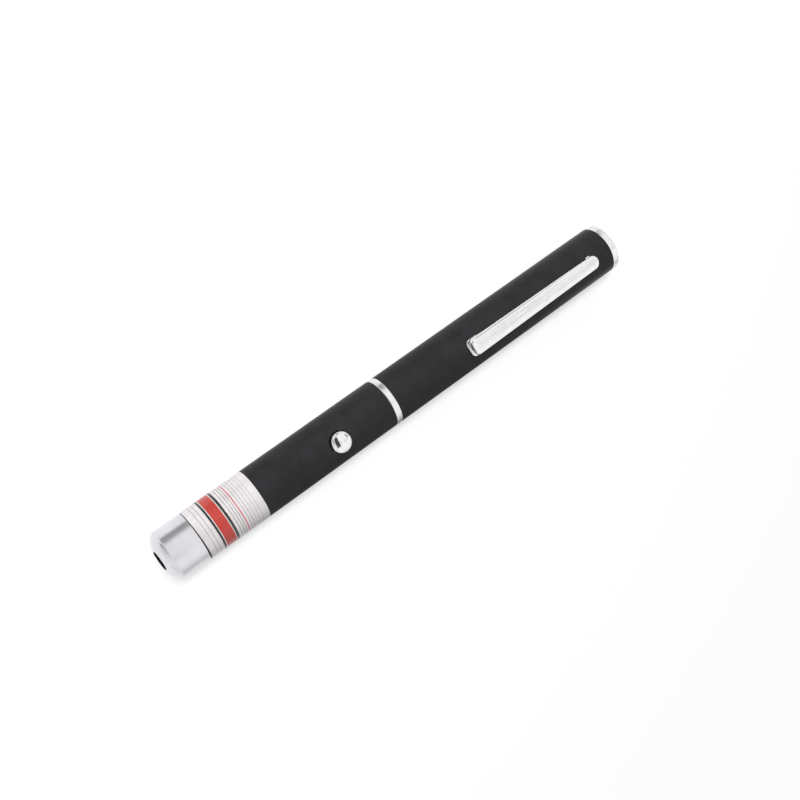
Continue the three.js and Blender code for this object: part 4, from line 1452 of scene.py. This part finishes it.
# %% Room
world = bpy.data.worlds.new("world")
world.use_nodes = True
scene.world = world


def room():
    g = Graph(world.node_tree)
    direction = g.node("ShaderNodeTexCoord", output="Generated")
    along, across, up = g.split(direction)
    lean = across.maths("ARCTAN2", up) * math.degrees(1)
    rough = g.noise(9, 3.0, 0.6, vector=direction) - 0.5
    fine = g.noise(70, 3.0, 0.6, vector=direction)
    behind = along.step(-0.02, 0.10, 1.0, 0.0)
    table = lean.step(-74, -50, 1.0, 0.0) * along.step(-0.52, -0.38, 0.15, 1.0) * behind
    overhead = lean.step(-10, 2) * lean.step(16, 30, 1.0, 0.0) * along.step(-0.20, -0.12) * behind
    marks = lean.step(4, 10) * lean.step(20, 26, 1.0, 0.0) * along.step(-0.38, -0.34, 1.0, 0.0)
    marks = marks * fine.step(0.48, 0.60)
    far_side = lean.step(55, 90) * along.step(-0.50, -0.32, 0.3, 1.0) * behind
    front_side = lean.step(-60, 60, 1.0, 0.4) * along.step(0.40, 0.55)
    lens = abs(along + rough * 0.3 - 0.27).step(0.20, 0.26, 1.0, 0.0)
    lens = lens * (lean + rough * 90).step(-56, -46) * (lean + rough * 90).step(20, 30, 1.0, 0.0)
    stand = abs(along + rough * 0.2 - 0.74).step(0.04, 0.07, 1.0, 0.0)
    stand = stand * lean.step(-140, -120) * lean.step(-15, 5, 1.0, 0.0)
    hand = abs(along + rough * 0.1 + 0.82).step(0.04, 0.06, 1.0, 0.0)
    hand = hand * lean.step(-34, -28) * lean.step(8, 14, 1.0, 0.0)
    level = (1 - table * 0.66) * (1 - overhead * 0.12) * (1 - marks * 0.38)
    level = level * (1 - far_side * 0.24) * (1 - front_side * 0.24)
    level = level * (1 - lens.most(hand) * 0.94) * (1 - stand * 0.78)
    mirrored = g.blend(level, sky(g, 0.0), sky(g, 1.0))
    plain = g.blend(lean.step(-50, 45), sky(g, 0.5), sky(g, 0.06))
    lit = g.blend(ray_is(g, "Is Glossy Ray"), plain, mirrored)
    g.surface(g.blend(ray_is(g, "Is Camera Ray"), lit, sky(g, 1.0)), "ShaderNodeOutputWorld")


room()
print(len(world.node_tree.nodes), "nodes in the room")

# %% [markdown]
# One soft lamp on the near side shades the sleeves round and throws the pen's shadow to the far side.
# Nothing mirrors it, because the room already holds all that metal and gloss should show.

# %% Key light
KEY_PLACE = Vector((0.12, -0.32, 0.79))
KEY_LENGTH = 0.36
KEY_WIDTH = 0.15
KEY_POWER = 5.9


def key_light():
    lamp = bpy.data.lights.new("key_light", "AREA")
    lamp.shape = "RECTANGLE"
    lamp.size = KEY_LENGTH
    lamp.size_y = KEY_WIDTH
    lamp.energy = KEY_POWER
    made = bpy.data.objects.new("key_light", lamp)
    made.location = KEY_PLACE
    made.rotation_euler = (-KEY_PLACE).to_track_quat("-Z", "Y").to_euler()
    made.visible_glossy = False
    scene.collection.objects.link(made)


key_light()
print("key light of", KEY_POWER, "W at", round(KEY_PLACE.length, 2), "m")
